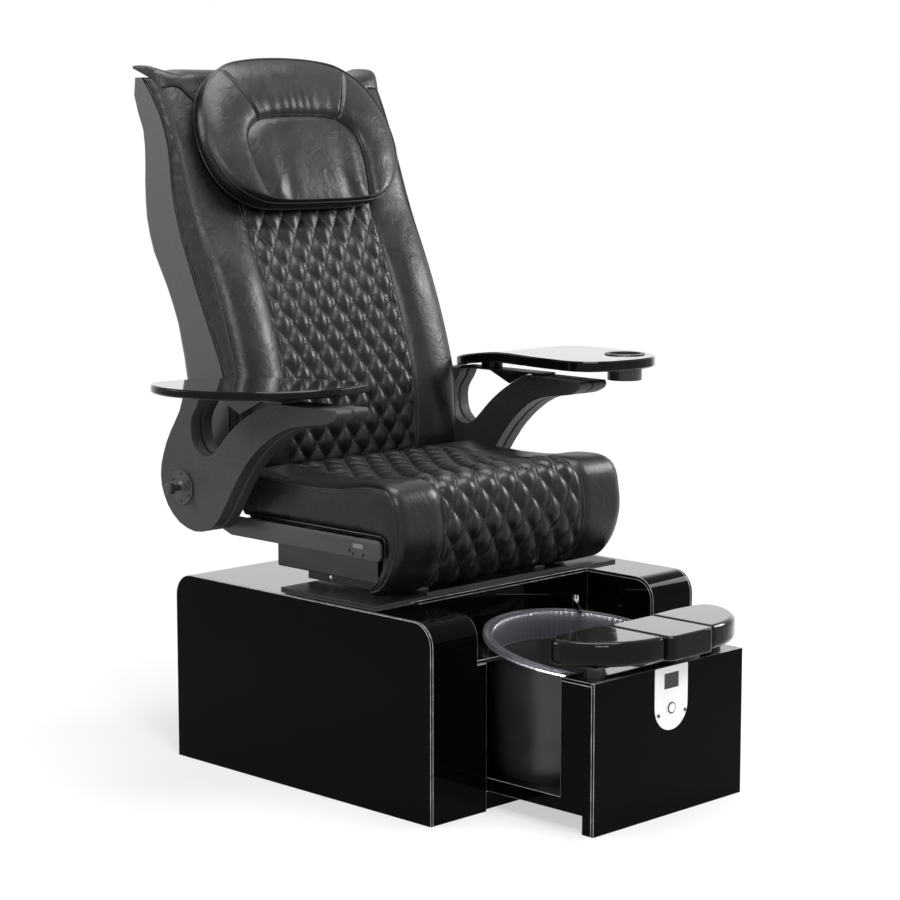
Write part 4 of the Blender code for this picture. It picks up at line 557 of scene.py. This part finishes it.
def spline(points, count, closed=False, smooth=True):
    """Points at equal steps along a smooth curve, or along straight runs, through these points."""
    given = np.array(points, float)
    if closed:
        given = np.vstack([given, given[:1]])
    if smooth:
        first = given[-2] if closed else 2 * given[0] - given[1]
        last = given[1] if closed else 2 * given[-1] - given[-2]
        padded = np.vstack([first, given, last])
        t = np.linspace(0, 1, 17)[:-1, None]
        runs = []
        for a, b, c, d in zip(padded, padded[1:], padded[2:], padded[3:]):
            square, cube = 2 * a - 5 * b + 4 * c - d, 3 * b - a - 3 * c + d
            runs.append(0.5 * (2 * b + (c - a) * t + square * t**2 + cube * t**3))
        given = np.vstack(runs + [given[-1:]])
    length = np.concatenate([[0], np.cumsum(np.linalg.norm(np.diff(given, axis=0), axis=1))])
    marks = np.linspace(0, length[-1], count + 1)[:-1] if closed else np.linspace(0, length[-1], count)
    return np.stack([np.interp(marks, length, axis) for axis in given.T], axis=1)


def tube(name, points, radius, surface, body, closed=False, sides=3):
    """A welt cord or a rod along these points, as a mesh."""
    curve = bpy.data.curves.new(name, "CURVE")
    curve.dimensions = "3D"
    curve.bevel_depth = radius
    curve.bevel_resolution = sides
    curve.use_fill_caps = True
    run = curve.splines.new("POLY")
    run.points.add(len(points) - 1)
    for spot, point in zip(run.points, points):
        spot.co = (*point, 1)
    run.use_cyclic_u = closed
    piece = bpy.data.objects.new(name, curve)
    bpy.context.scene.collection.objects.link(piece)
    only(piece)
    bpy.ops.object.convert(target="MESH")
    bpy.ops.object.shade_smooth()
    coat(piece, surface)
    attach(piece, body)
    return piece


def sewn(name, runs, body, pitch=0.0052, length=0.0034, radius=0.00042):
    """Thread along runs of (points, outward directions): one small spindle for each stitch."""
    points, faces = [], []
    for run, outward in runs:
        run, outward = np.array(run), np.array(outward)
        steps = np.concatenate([[0], np.cumsum(np.linalg.norm(np.diff(run, axis=0), axis=1))])
        for mark in np.arange(pitch / 2, steps[-1], pitch):
            ends = [np.array([np.interp(mark + e, steps, axis) for axis in run.T]) for e in (-length / 2, length / 2)]
            up = np.array([np.interp(mark, steps, axis) for axis in outward.T])
            up /= np.linalg.norm(up)
            ahead = ends[1] - ends[0]
            side = np.cross(ahead, up)
            side *= radius / max(np.linalg.norm(side), 1e-9)
            middle = (ends[0] + ends[1]) / 2 + up * radius
            at = len(points)
            points += [ends[0], middle + up * radius, middle + side, middle - up * radius, middle - side, ends[1]]
            for a, b in ((1, 2), (2, 3), (3, 4), (4, 1)):
                faces += [(at, at + a, at + b), (at + 5, at + b, at + a)]
    mesh = bpy.data.meshes.new(name)
    mesh.from_pydata([tuple(p) for p in points], [], faces)
    piece = bpy.data.objects.new(name, mesh)
    bpy.context.scene.collection.objects.link(piece)
    coat(piece, thread)
    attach(piece, body)
    return piece


def diamonds(column, row):
    """1 in the middle of each diamond, 0 on its seams; both counts are in half diamonds."""
    first = np.abs(np.sin(math.pi * (column + row) / 2))
    second = np.abs(np.sin(math.pi * (column - row) / 2))
    return (first * second) ** 0.55


def drift(points, size, seed=0.0):
    """Soft random waves between -1 and 1 at these points."""
    return np.array([noise.noise(Vector(p) / size + Vector((seed, 0, 0))) for p in points])


leather = finish(
    "near_black_leather", (0.0036, 0.0041, 0.0040), (0.0060, 0.0067, 0.0065), (0.30, 0.41), 850.0, 0.00014,
    blotches=14.0, creases=0.0011, Specular_IOR_Level=0.25,
)
welt_leather = finish(
    "welt_leather", (0.0045, 0.0050, 0.0048), (0.0065, 0.0070, 0.0068), (0.28, 0.40), 900.0, 0.00010,
    Specular_IOR_Level=0.3,
)
thread = finish(
    "grey_thread", (0.16, 0.17, 0.17), (0.24, 0.25, 0.25), (0.45, 0.60), 2400.0, 0.00005, blotches=90.0
)

seat_steps = SEAT_HALF_ROWS * QUILT_STEPS
seat_line = spline(SEAT_PROFILE, seat_steps + 1)
seat_floor = spline(SEAT_UNDERSIDE, seat_steps + 1, smooth=False)
seat_slope = np.gradient(seat_line, axis=0)
seat_out = np.stack([-seat_slope[:, 1], seat_slope[:, 0]], axis=1)
seat_out /= np.linalg.norm(seat_out, axis=1)[:, None]
seat_out *= np.sign(seat_out[seat_steps // 2, 1])


def seat_height(x, row):
    """How far the leather stands off the profile at a place across and along the seat."""
    across = np.abs(x)
    ends = np.clip(np.minimum(row, SEAT_HALF_ROWS - row) / 1.3, 0, 1) ** 0.5
    column = (x / SEAT_SEAM + 1) * SEAT_DIAMONDS
    border = np.clip((SEAT_SEAM - across) / 0.014, 0, 1) ** 0.5
    quilt = SEAT_PUFF * diamonds(column, row) * border * ends - 0.0015
    beside = np.clip((across - SEAT_SEAM) / (SEAT_HALF - SEAT_SEAM), 0, 1)
    rise = 0.0075 * np.clip(beside / 0.16, 0, 1) ** 0.6 * (1 - 0.25 * beside) * (0.4 + 0.6 * ends) - 0.0015
    shoulder = np.clip((across - (SEAT_HALF - 0.022)) / 0.022, 0, 1)
    rise = rise - 0.016 * (1 - np.sqrt(1 - 0.96 * shoulder**2))
    return np.where(across < SEAT_SEAM, quilt, rise)


def seat_point(x, row, lift=0.0):
    """Points of the seat's upper surface, with rows counted in half diamonds."""
    x, row = np.broadcast_arrays(np.asarray(x, float), np.asarray(row, float))
    step = row * QUILT_STEPS
    index = np.arange(seat_steps + 1)
    base = np.stack([np.interp(step, index, seat_line[:, axis]) for axis in (0, 1)], axis=-1)
    away = np.stack([np.interp(step, index, seat_out[:, axis]) for axis in (0, 1)], axis=-1)
    spot = base + away * (seat_height(x, row) + lift)[..., None]
    return np.stack([x, CUT_REAR + spot[..., 0], BOARD_TOP + spot[..., 1]], axis=-1)


quilt_x = np.linspace(-SEAT_SEAM, SEAT_SEAM, 2 * SEAT_DIAMONDS * QUILT_STEPS + 1)
bolster_x = SEAT_SEAM + (SEAT_HALF - SEAT_SEAM) * np.array(
    [0.02, 0.05, 0.09, 0.14, 0.22, 0.32, 0.42, 0.52, 0.62, 0.72, 0.80, 0.86, 0.91, 0.95, 0.98, 1.0]
)
top_x = np.concatenate([-bolster_x[::-1], quilt_x, bolster_x])
rings = []
for step in range(seat_steps + 1):
    row = step / QUILT_STEPS
    top = seat_point(top_x, row)
    waves = 0.0009 * drift(top, 0.05) * (np.abs(top_x) > SEAT_SEAM)
    top[:, 2] += waves
    floor_y, floor_z = CUT_REAR + seat_floor[step, 0], BOARD_TOP + seat_floor[step, 1]
    side = []
    for share in (0.06, 0.18, 0.34, 0.5, 0.66, 0.82, 0.94):
        swell = 0.0065 * math.sin(math.pi * share) ** 0.7 * min(1.0, row / 1.5, (SEAT_HALF_ROWS - row) / 1.5 + 0.2)
        y = top[-1][1] * (1 - share) + floor_y * share
        z = top[-1][2] * (1 - share) + floor_z * share
        crease = 0.0012 * noise.noise(Vector((y, z, 0.3)) / 0.035)
        side.append((SEAT_HALF + swell - 0.002 + crease, y, z))
    under = [(x, floor_y, floor_z) for x in np.linspace(SEAT_HALF - 0.003, -SEAT_HALF + 0.003, 9)]
    rings.append(list(map(tuple, top)) + side + under + [(-x, y, z) for x, y, z in side[::-1]])
seat = skin("seat_leather", rings)
stand_for(seat, "seat_cushion", "seat", leather)

for name, sign in (("left", -1), ("right", 1)):
    upper = seat_point(sign * (SEAT_HALF - 0.001), np.arange(0, SEAT_HALF_ROWS + 0.01, 1 / 3), 0.0006)
    lower = [(sign * SEAT_HALF, CUT_REAR + y, BOARD_TOP + z) for y, z in seat_floor[::2]]
    loop = list(map(tuple, upper)) + lower[::-1][1:-1]
    tube("seat_piping_" + name, loop, PIPING, welt_leather, "seat", closed=True)

runs = []
for start in range(1 - SEAT_HALF_ROWS, 2 * SEAT_DIAMONDS + SEAT_HALF_ROWS + 1, 2):
    for direction in (1, -1):
        column = np.linspace(0, 2 * SEAT_DIAMONDS, 2 * SEAT_DIAMONDS * 8 + 1)
        row = column - start if direction == 1 else start - column
        inside = (row > 0.15) & (row < SEAT_HALF_ROWS - 0.15)
        if inside.sum() < 3:
            continue
        x = (column[inside] / SEAT_DIAMONDS - 1) * SEAT_SEAM
        base = seat_point(x, row[inside], ON_LEATHER)
        runs.append((base, seat_point(x, row[inside], UPWARDS) - base))
row = np.arange(0.1, SEAT_HALF_ROWS - 0.1, 0.1)
for sign in (-1, 1):
    for offset in BESIDE_SEAM:
        x = sign * (SEAT_SEAM + offset)
        base = seat_point(x, row, ON_LEATHER)
        runs.append((base, seat_point(x, row, UPWARDS) - base))
sewn("seat_stitching", runs, "seat")

# ---- Back cushion: the same leather over foam, quilted in the middle, with a piped gusset down
# each side and a zip line where it meets the shell. The bolsters are full and smooth.
BACK_HALF = 0.308
BACK_SEAM = 0.182
BACK_DIAMONDS = 7
BACK_HALF_ROWS = 24
BACK_PUFF = 0.0105
BACK_STATIONS = (
    (0.011, 0.439, 0.477, 0.592), (0.121, 0.435, 0.473, 0.607), (0.221, 0.438, 0.475, 0.622),
    (0.301, 0.457, 0.503, 0.637), (0.381, 0.483, 0.543, 0.657), (0.451, 0.510, 0.577, 0.692),
    (0.511, 0.536, 0.605, 0.730), (0.571, 0.563, 0.630, 0.752), (0.641, 0.591, 0.649, 0.757),
    (0.721, 0.620, 0.656, 0.753), (0.781, 0.644, 0.674, 0.759), (0.826, 0.664, 0.700, 0.788),
    (0.876, 0.690, 0.742, 0.770),
)
BACK_LOOSE = (  # (height, how full the foam is there)
    (0.020, 0.1), (0.060, 0.45), (0.105, 0.85), (0.150, 1.0), (0.420, 1.0), (0.465, 0.95), (0.510, 0.78),
    (0.550, 0.52), (0.585, 0.30), (0.620, 0.2),
)
BACK_STITCHED = 17  # half rows of the quilting with thread; the rest is behind the pillow
BOLSTER_RISE = 0.019
BOLSTER_SWELL = ((0.0, 0.0), (0.04, 0.25), (0.12, 0.55), (0.3, 0.92), (0.5, 1.0), (0.7, 0.88), (0.88, 0.55), (1.0, 0.1))
back_steps = BACK_HALF_ROWS * QUILT_STEPS
back_levels = np.linspace(BACK_STATIONS[0][0], BACK_STATIONS[-1][0], back_steps + 1)
back_curve = spline(BACK_STATIONS, 400)
back_lines = [CUT_REAR + np.interp(back_levels, back_curve[:, 0], back_curve[:, k]) for k in (1, 2, 3)]
back_full = np.interp(back_levels, *zip(*BACK_LOOSE))


def back_point(x, row, lift=0.0):
    """Points of the back's front surface, with rows counted in half diamonds from the bottom."""
    x, row = np.broadcast_arrays(np.asarray(x, float), np.asarray(row, float))
    step = row * QUILT_STEPS
    index = np.arange(back_steps + 1)
    face, level, full = (np.interp(step, index, values) for values in (back_lines[0], back_levels, back_full))
    slope = np.interp(step, index, np.gradient(back_lines[0], back_levels))
    across = np.abs(x)
    border = np.clip((BACK_SEAM - across) / 0.014, 0, 1) ** 0.5
    ends = np.clip(np.minimum(row, BACK_HALF_ROWS - row) / 1.3, 0, 1) ** 0.5
    column = (x / BACK_SEAM + 1) * BACK_DIAMONDS
    quilt = BACK_PUFF * (0.35 + 0.65 * full) * diamonds(column, row) * border * ends - 0.001
    beside = np.clip((across - BACK_SEAM) / (BACK_HALF - BACK_SEAM), 0, 1)
    swell = BOLSTER_RISE * np.interp(beside, *zip(*BOLSTER_SWELL)) * (0.12 + 0.88 * full) - 0.001
    setback = 0.006 * np.clip((beside - 0.8) / 0.2, 0, 1) ** 2
    height = np.where(across < BACK_SEAM, quilt, swell) - setback + lift
    away = 1 / np.sqrt(1 + slope**2)
    return np.stack([x, face - height * away, BOARD_TOP + level + height * slope * away], axis=-1)


quilt_x = np.linspace(-BACK_SEAM, BACK_SEAM, 2 * BACK_DIAMONDS * QUILT_STEPS + 1)
bolster_x = BACK_SEAM + (BACK_HALF - BACK_SEAM) * np.array(
    [0.02, 0.05, 0.09, 0.14, 0.2, 0.28, 0.36, 0.45, 0.54, 0.63, 0.72, 0.8, 0.87, 0.93, 0.97, 1.0]
)
front_x = np.concatenate([-bolster_x[::-1], quilt_x, bolster_x])
rings = []
for step in range(back_steps + 1):
    row = step / QUILT_STEPS
    front = back_point(front_x, row)
    front[:, 1] += 0.0012 * drift(front, 0.07, 5.0) * (np.abs(front_x) > BACK_SEAM)
    rear = back_lines[1][step] - 0.0004
    z = BOARD_TOP + back_levels[step]
    side = []
    for share in (0.08, 0.22, 0.4, 0.6, 0.8, 0.94):
        swell = 0.0015 * math.sin(math.pi * share)
        y = front[-1][1] * (1 - share) + rear * share
        crease = 0.0011 * noise.noise(Vector((y * 0.4, z, 0.7)) / 0.016)
        side.append((BACK_HALF + swell - 0.0012 + crease, y, front[-1][2] * (1 - share) + z * share))
    behind = [(x, rear, z) for x in np.linspace(BACK_HALF - 0.001, -BACK_HALF + 0.001, 9)]
    rings.append(list(map(tuple, front)) + side + behind + [(-x, y, level) for x, y, level in side[::-1]])
back = skin("back_leather", rings)
stand_for(back, "back_cushion", "back", leather)

edge_rows = np.arange(0.2, BACK_HALF_ROWS - 0.1, 0.5)
for name, sign in (("left", -1), ("right", 1)):
    edge = back_point(sign * (BACK_HALF - 0.001), edge_rows, 0.0004)
    tube("back_piping_" + name, edge, PIPING, welt_leather, "back")
    step = (edge_rows * QUILT_STEPS).astype(int)
    zip_line = np.stack([np.full(len(step), sign * (BACK_HALF - 0.0008)), back_lines[1][step] - 0.004,
                         BOARD_TOP + back_levels[step]], axis=1)
    tube("zip_welt_" + name, zip_line, 0.0022, welt_leather, "back")

runs = []
for start in range(-BACK_HALF_ROWS, 2 * BACK_DIAMONDS + BACK_HALF_ROWS + 1, 2):
    for direction in (1, -1):
        column = np.linspace(0, 2 * BACK_DIAMONDS, 2 * BACK_DIAMONDS * 8 + 1)
        row = column - start if direction == 1 else start - column
        inside = (row > 0.1) & (row < BACK_STITCHED)
        if inside.sum() < 3:
            continue
        x = (column[inside] / BACK_DIAMONDS - 1) * BACK_SEAM
        base = back_point(x, row[inside], ON_LEATHER)
        runs.append((base, back_point(x, row[inside], UPWARDS) - base))
row = np.arange(0.1, BACK_STITCHED + 1, 0.1)
for sign in (-1, 1):
    for offset in BESIDE_SEAM:
        base = back_point(sign * (BACK_SEAM + offset), row, ON_LEATHER)
        runs.append((base, back_point(sign * (BACK_SEAM + offset), row, UPWARDS) - base))
sewn("back_stitching", runs, "back")

# ---- Back shell: one moulding in pebbled dark-grey plastic behind the cushion, screwed to the
# steel frame of the back.
textured = finish(
    "pebbled_plastic", (0.040, 0.041, 0.044), (0.050, 0.051, 0.054), (0.50, 0.62), 620.0, 0.00055,
    Specular_IOR_Level=0.4,
)
coat(nodes["back_shell"], textured)

# ---- Shoulder cover: leather stretched over the top of the back, drawn to a wing tip at each
# rear corner and hemmed all round.
BACK_TOP = BOARD_TOP + BACK_STATIONS[-1][0]
SHELL_HALF = 0.310
COVER_HEM = ((0.0, 20.8), (0.55, 21.2), (0.70, 22.0), (0.86, 23.5), (1.0, 23.5))  # (share of the half width, row)
COVER_STATIONS = ((0.00, 0.0025, 0.006), (0.70, 0.0025, 0.006), (0.80, -0.0035, 0.006), (0.91, 0.0015, 0.004),
                  (1.00, 0.0095, 0.000))  # (share of the half width, lift of the top, reach to the rear)
COVER_DRAWN = (0.0, 0.0015, 0.0025, 0.003, 0.0035, 0.004, 0.004)  # how far the front is drawn out, from the hem up
COVER_CROWN = 0.015
TIP_START, TIP_RUN, TIP_LIFT = 0.86, 0.12, 0.016  # shares of the half width, and the rise of the tip's underside
rings = []
for share in np.sin(np.linspace(-math.pi / 2, math.pi / 2, 61)):
    x = share * SHELL_HALF
    lift, reach = (np.interp(abs(share), *zip(*[(s[0], s[k]) for s in COVER_STATIONS])) for k in (1, 2))
    rear = back_lines[2][-1]
    inner_x = np.clip(x, -BACK_HALF, BACK_HALF)
    hem = min(np.interp(abs(share), *zip(*COVER_HEM)), BACK_HALF_ROWS - 0.6)
    rows = np.linspace(hem, BACK_HALF_ROWS - 0.35, 7)
    over = back_point(inner_x, rows, 0.0012)
    over[:, 0] = x
    over[:, 1] -= np.array(COVER_DRAWN)
    top_y = float(over[-1][1])
    crown = BACK_TOP + COVER_CROWN + lift
    middle = (top_y + rear) / 2
    tip = np.clip((abs(share) - TIP_START) / TIP_RUN, 0, 1)
    tip = tip**2 * (3 - 2 * tip)
    under_side = BACK_TOP + 0.0008 + tip * TIP_LIFT
    path = list(map(tuple, over)) + [
        (x, top_y + 0.004, BACK_TOP + 0.004 + lift / 2), (x, top_y + 0.016, crown - 0.003), (x, middle, crown),
        (x, rear - 0.008, crown + 0.0005), (x, rear + reach, crown - 0.001), (x, rear + reach + 0.002, crown - 0.004),
        (x, rear + reach + 0.001, under_side + 0.003), (x, rear + 0.001, under_side), (x, middle, under_side),
        (x, top_y + 0.012, BACK_TOP + 0.0008),
    ]
    under = back_point(inner_x, rows, 0.0006)
    under[:, 0] = x
    path += list(map(tuple, under[::-1]))
    rings.append(path)
cover = skin("shoulder_leather", rings)
soft = cover.modifiers.new("soft", "SUBSURF")
soft.levels = soft.render_levels = 1
apply_all(cover)
stand_for(cover, "shoulder_cover", "back", leather)
for sign in (-1, 1):
    columns = np.linspace(0.50, 0.87, 24) * SHELL_HALF * sign
    rows = np.minimum(np.interp(np.abs(columns) / SHELL_HALF, *zip(*COVER_HEM)), BACK_HALF_ROWS - 0.6)
    hem = back_point(columns, rows, 0.0016)
    tube("cover_hem_" + ("left" if sign < 0 else "right"), hem, 0.0016, welt_leather, "back")

# ---- Head pillow: an arched panel with soft folds, a full ring sewn round it in three parts,
# and a gusset with piping at its front and rear edges. The panel's middle is plain.
PILLOW_TILT = 0.422
PILLOW_CENTRE_Z = 0.745
PILLOW_THICKNESS = 0.036
PILLOW_CROWN = 0.016
PILLOW_STANDOFF = 0.0037
PILLOW_OUTLINE = (
    (0.000, -0.159), (0.075, -0.159), (0.147, -0.155), (0.192, -0.139), (0.226, -0.113), (0.249, -0.078),
    (0.261, -0.033), (0.260, 0.016), (0.248, 0.062), (0.225, 0.103), (0.192, 0.134), (0.149, 0.156),
    (0.092, 0.166), (0.032, 0.170),
)
PILLOW_PANEL = (
    (0.000, -0.1565), (0.070, -0.1565), (0.134, -0.1530), (0.145, -0.134), (0.151, -0.103), (0.157, -0.072),
    (0.159, -0.040), (0.155, -0.012), (0.144, 0.008), (0.126, 0.022), (0.103, 0.032), (0.073, 0.037),
    (0.045, 0.039), (0.016, 0.0395),
)
PILLOW_AROUND = 540
PILLOW_SEAMS = ((0.113, 0.030), (0.167, 0.137))  # where a top seam of the ring meets panel and edge
RING_PUFF = (  # (share of the way from the panel to the edge, how full)
    (0, 0.10), (0.03, 0.42), (0.10, 0.78), (0.25, 0.98), (0.45, 1.0), (0.7, 0.84), (0.88, 0.5), (0.97, 0.16), (1, 0),
)
RING_SHARES = (
    0.0, 0.02, 0.05, 0.09, 0.14, 0.20, 0.28, 0.37, 0.46, 0.55, 0.64, 0.72, 0.79, 0.85, 0.90, 0.94, 0.97, 0.99,
)
SEAM_SINK, SEAM_SPREAD = 0.0050, 0.0034  # how deep and how wide the ring's top seams pull it in
GATHER_PITCH, GATHER_DEPTH = 0.026, 0.0004  # the gathers above the panel


def whole(half):
    """The right half of an outline, with the left half after it."""
    return list(half) + [(-x, y) for x, y in half[:0:-1]]


outline = spline(whole(PILLOW_OUTLINE), PILLOW_AROUND, closed=True)
panel = spline(whole(PILLOW_PANEL), PILLOW_AROUND, closed=True)
pillow_up = np.array((0, math.sin(PILLOW_TILT), math.cos(PILLOW_TILT)))
pillow_out = np.array((0, -math.cos(PILLOW_TILT), math.sin(PILLOW_TILT)))
pillow_y = np.interp(PILLOW_CENTRE_Z, back_levels, back_lines[0])
pillow_rear = np.array((0, pillow_y, BOARD_TOP - 0.0003 + PILLOW_CENTRE_Z)) + pillow_out * PILLOW_STANDOFF


def pillow_place(flat, depth):
    """Points of the pillow in space from (across, up) and their height above its rear."""
    return pillow_rear + np.outer(flat[:, 0], (1, 0, 0)) + np.outer(flat[:, 1], pillow_up) + np.outer(depth, pillow_out)


def seam_distance(flat):
    """How far points lie from the nearer of the two seams across the top of the ring."""
    start, end = np.array(PILLOW_SEAMS[0]), np.array(PILLOW_SEAMS[1])
    along = (end - start) / np.linalg.norm(end - start)
    offset = np.stack([np.abs(flat[:, 0]), flat[:, 1]], axis=1) - start
    reach = offset @ along
    return np.where(reach > -0.012, np.abs(offset @ np.array((-along[1], along[0]))), 1.0)


rings = []
for size in (0.02, 0.12, 0.24, 0.36, 0.48, 0.60, 0.71, 0.80, 0.87, 0.92, 0.955, 0.98, 0.993):
    flat = panel * size
    depth = PILLOW_THICKNESS + PILLOW_CROWN * (0.10 + 0.62 * (1 - size**5))
    folds = np.exp(-(((np.abs(flat[:, 0]) - 0.112 - 0.10 * (flat[:, 1] + 0.14)) / 0.016) ** 2)) * 0.0042
    folds -= np.exp(-(((np.abs(flat[:, 0]) - 0.082 - 0.06 * (flat[:, 1] + 0.14)) / 0.018) ** 2)) * 0.0030
    fade = np.clip((0.02 - flat[:, 1]) / 0.12, 0, 1) * min(1, (1.0 - size) / 0.15)
    depth = depth + folds * fade + 0.0012 * drift(np.column_stack([flat, flat[:, 0] * 0]), 0.06, 9.0) * (1 - size)
    rings.append(pillow_place(flat, depth))
for share in RING_SHARES:
    flat = panel * (1 - share) + outline * share
    lift = np.interp(share, *zip(*RING_PUFF))
    depth = np.full(PILLOW_AROUND, PILLOW_THICKNESS + PILLOW_CROWN * lift)
    near = seam_distance(flat)
    depth -= SEAM_SINK * np.exp(-((near / SEAM_SPREAD) ** 2)) * min(1, lift * 2)
    top = (flat[:, 1] > 0) & (np.abs(flat[:, 0]) < 0.15)
    gathers = np.sin(flat[:, 0] * 2 * math.pi / GATHER_PITCH + 2.5 * np.sin(flat[:, 0] * 31)) * GATHER_DEPTH
    depth += gathers * top * np.clip(1 - share / 0.7, 0, 1) * min(1, share / 0.05)
    depth += 0.0012 * drift(np.column_stack([flat, flat[:, 0] * 0]), 0.055, 3.0) * min(1, share / 0.1)
    rings.append(pillow_place(flat, depth))
for share in (0.0, 0.12, 0.3, 0.5, 0.7, 0.88, 1.0):
    grow = 1 + 0.016 * math.sin(math.pi * share)
    rings.append(pillow_place(outline * grow, np.full(PILLOW_AROUND, PILLOW_THICKNESS * (1 - share) + 0.002 * share)))
for size in (0.97, 0.9, 0.7, 0.4, 0.05):
    rings.append(pillow_place(outline * size, np.zeros(PILLOW_AROUND)))
pillow = skin("pillow_leather", rings)
stand_for(pillow, "head_pillow", "back", leather)
seam_shadow = finish("seam_shadow", (0.0008, 0.0009, 0.0009), (0.0014, 0.0015, 0.0015), (0.7, 0.9), 900.0, 0.0001,
                     Specular_IOR_Level=0.05)
# Thin near-black tubes along the panel seam and the ring's top seams: painted shade in the seam grooves.
seams = [("panel", panel[::3], PILLOW_THICKNESS + PILLOW_CROWN * 0.10 + 0.0002, True)]
along = np.linspace(0.0, 0.97, 24)
for side, sign in (("left", -1), ("right", 1)):
    line = np.outer(1 - along, PILLOW_SEAMS[0]) + np.outer(along, PILLOW_SEAMS[1])
    lifts = np.interp(along, *zip(*RING_PUFF))
    depth = PILLOW_THICKNESS + PILLOW_CROWN * lifts - SEAM_SINK * np.minimum(1, lifts * 2) + 0.0004
    seams.append(("ring_" + side, line * (sign, 1), depth, False))
for name, line, depth, closed in seams:
    seam = pillow_place(line, np.broadcast_to(depth, len(line)))
    tube("pillow_seam_shadow_" + name, seam, 0.0010, seam_shadow, "back", closed=closed, sides=6)
for name, depth in (("front", PILLOW_THICKNESS), ("rear", 0.004)):
    edge = pillow_place(outline[::3] * 1.003, np.full(len(outline[::3]), depth))
    tube("pillow_piping_" + name, edge, 0.0023, welt_leather, "back", closed=True)

# ---- Arms: two moulded shells a side in pebbled black plastic, screwed together. Each turns on a
# grey flange at its lobe and carries a steel bracket for its tray.
arm_plastic = finish(
    "pebbled_arm_plastic", (0.017, 0.018, 0.020), (0.029, 0.030, 0.033), (0.48, 0.60), 330.0, 0.0016,
    blotches=5.0, Specular_IOR_Level=0.32,
)
for side in ("left", "right"):
    for half in ("inner", "outer"):
        break_edges(f"arm_{half}_{side}", "arm_" + side, arm_plastic, 0.005, 4, 60, clamp=False)
    coat(nodes["arm_pivot_" + side], grey_paint)
    break_edges("tray_bracket_" + side, "arm_" + side, frame_paint, 0.0006)

# ---- Trays: gloss black mouldings that swivel on the arms' pins. The right one has a cup holder
# in plain dark plastic.
tray_gloss = finish(
    "gloss_tray", (0.0016, 0.0016, 0.0018), (0.0024, 0.0024, 0.0027), (0.04, 0.08), 140.0, 0.00002,
    Specular_IOR_Level=0.12,
)
gloss_aslant(tray_gloss, 0.58, 0.80, 2.2)
for side in ("left", "right"):
    break_edges("tray_" + side, "tray_" + side, tray_gloss, 0.001, 2, 40)
coat(nodes["cup_holder"], bowl_plastic)
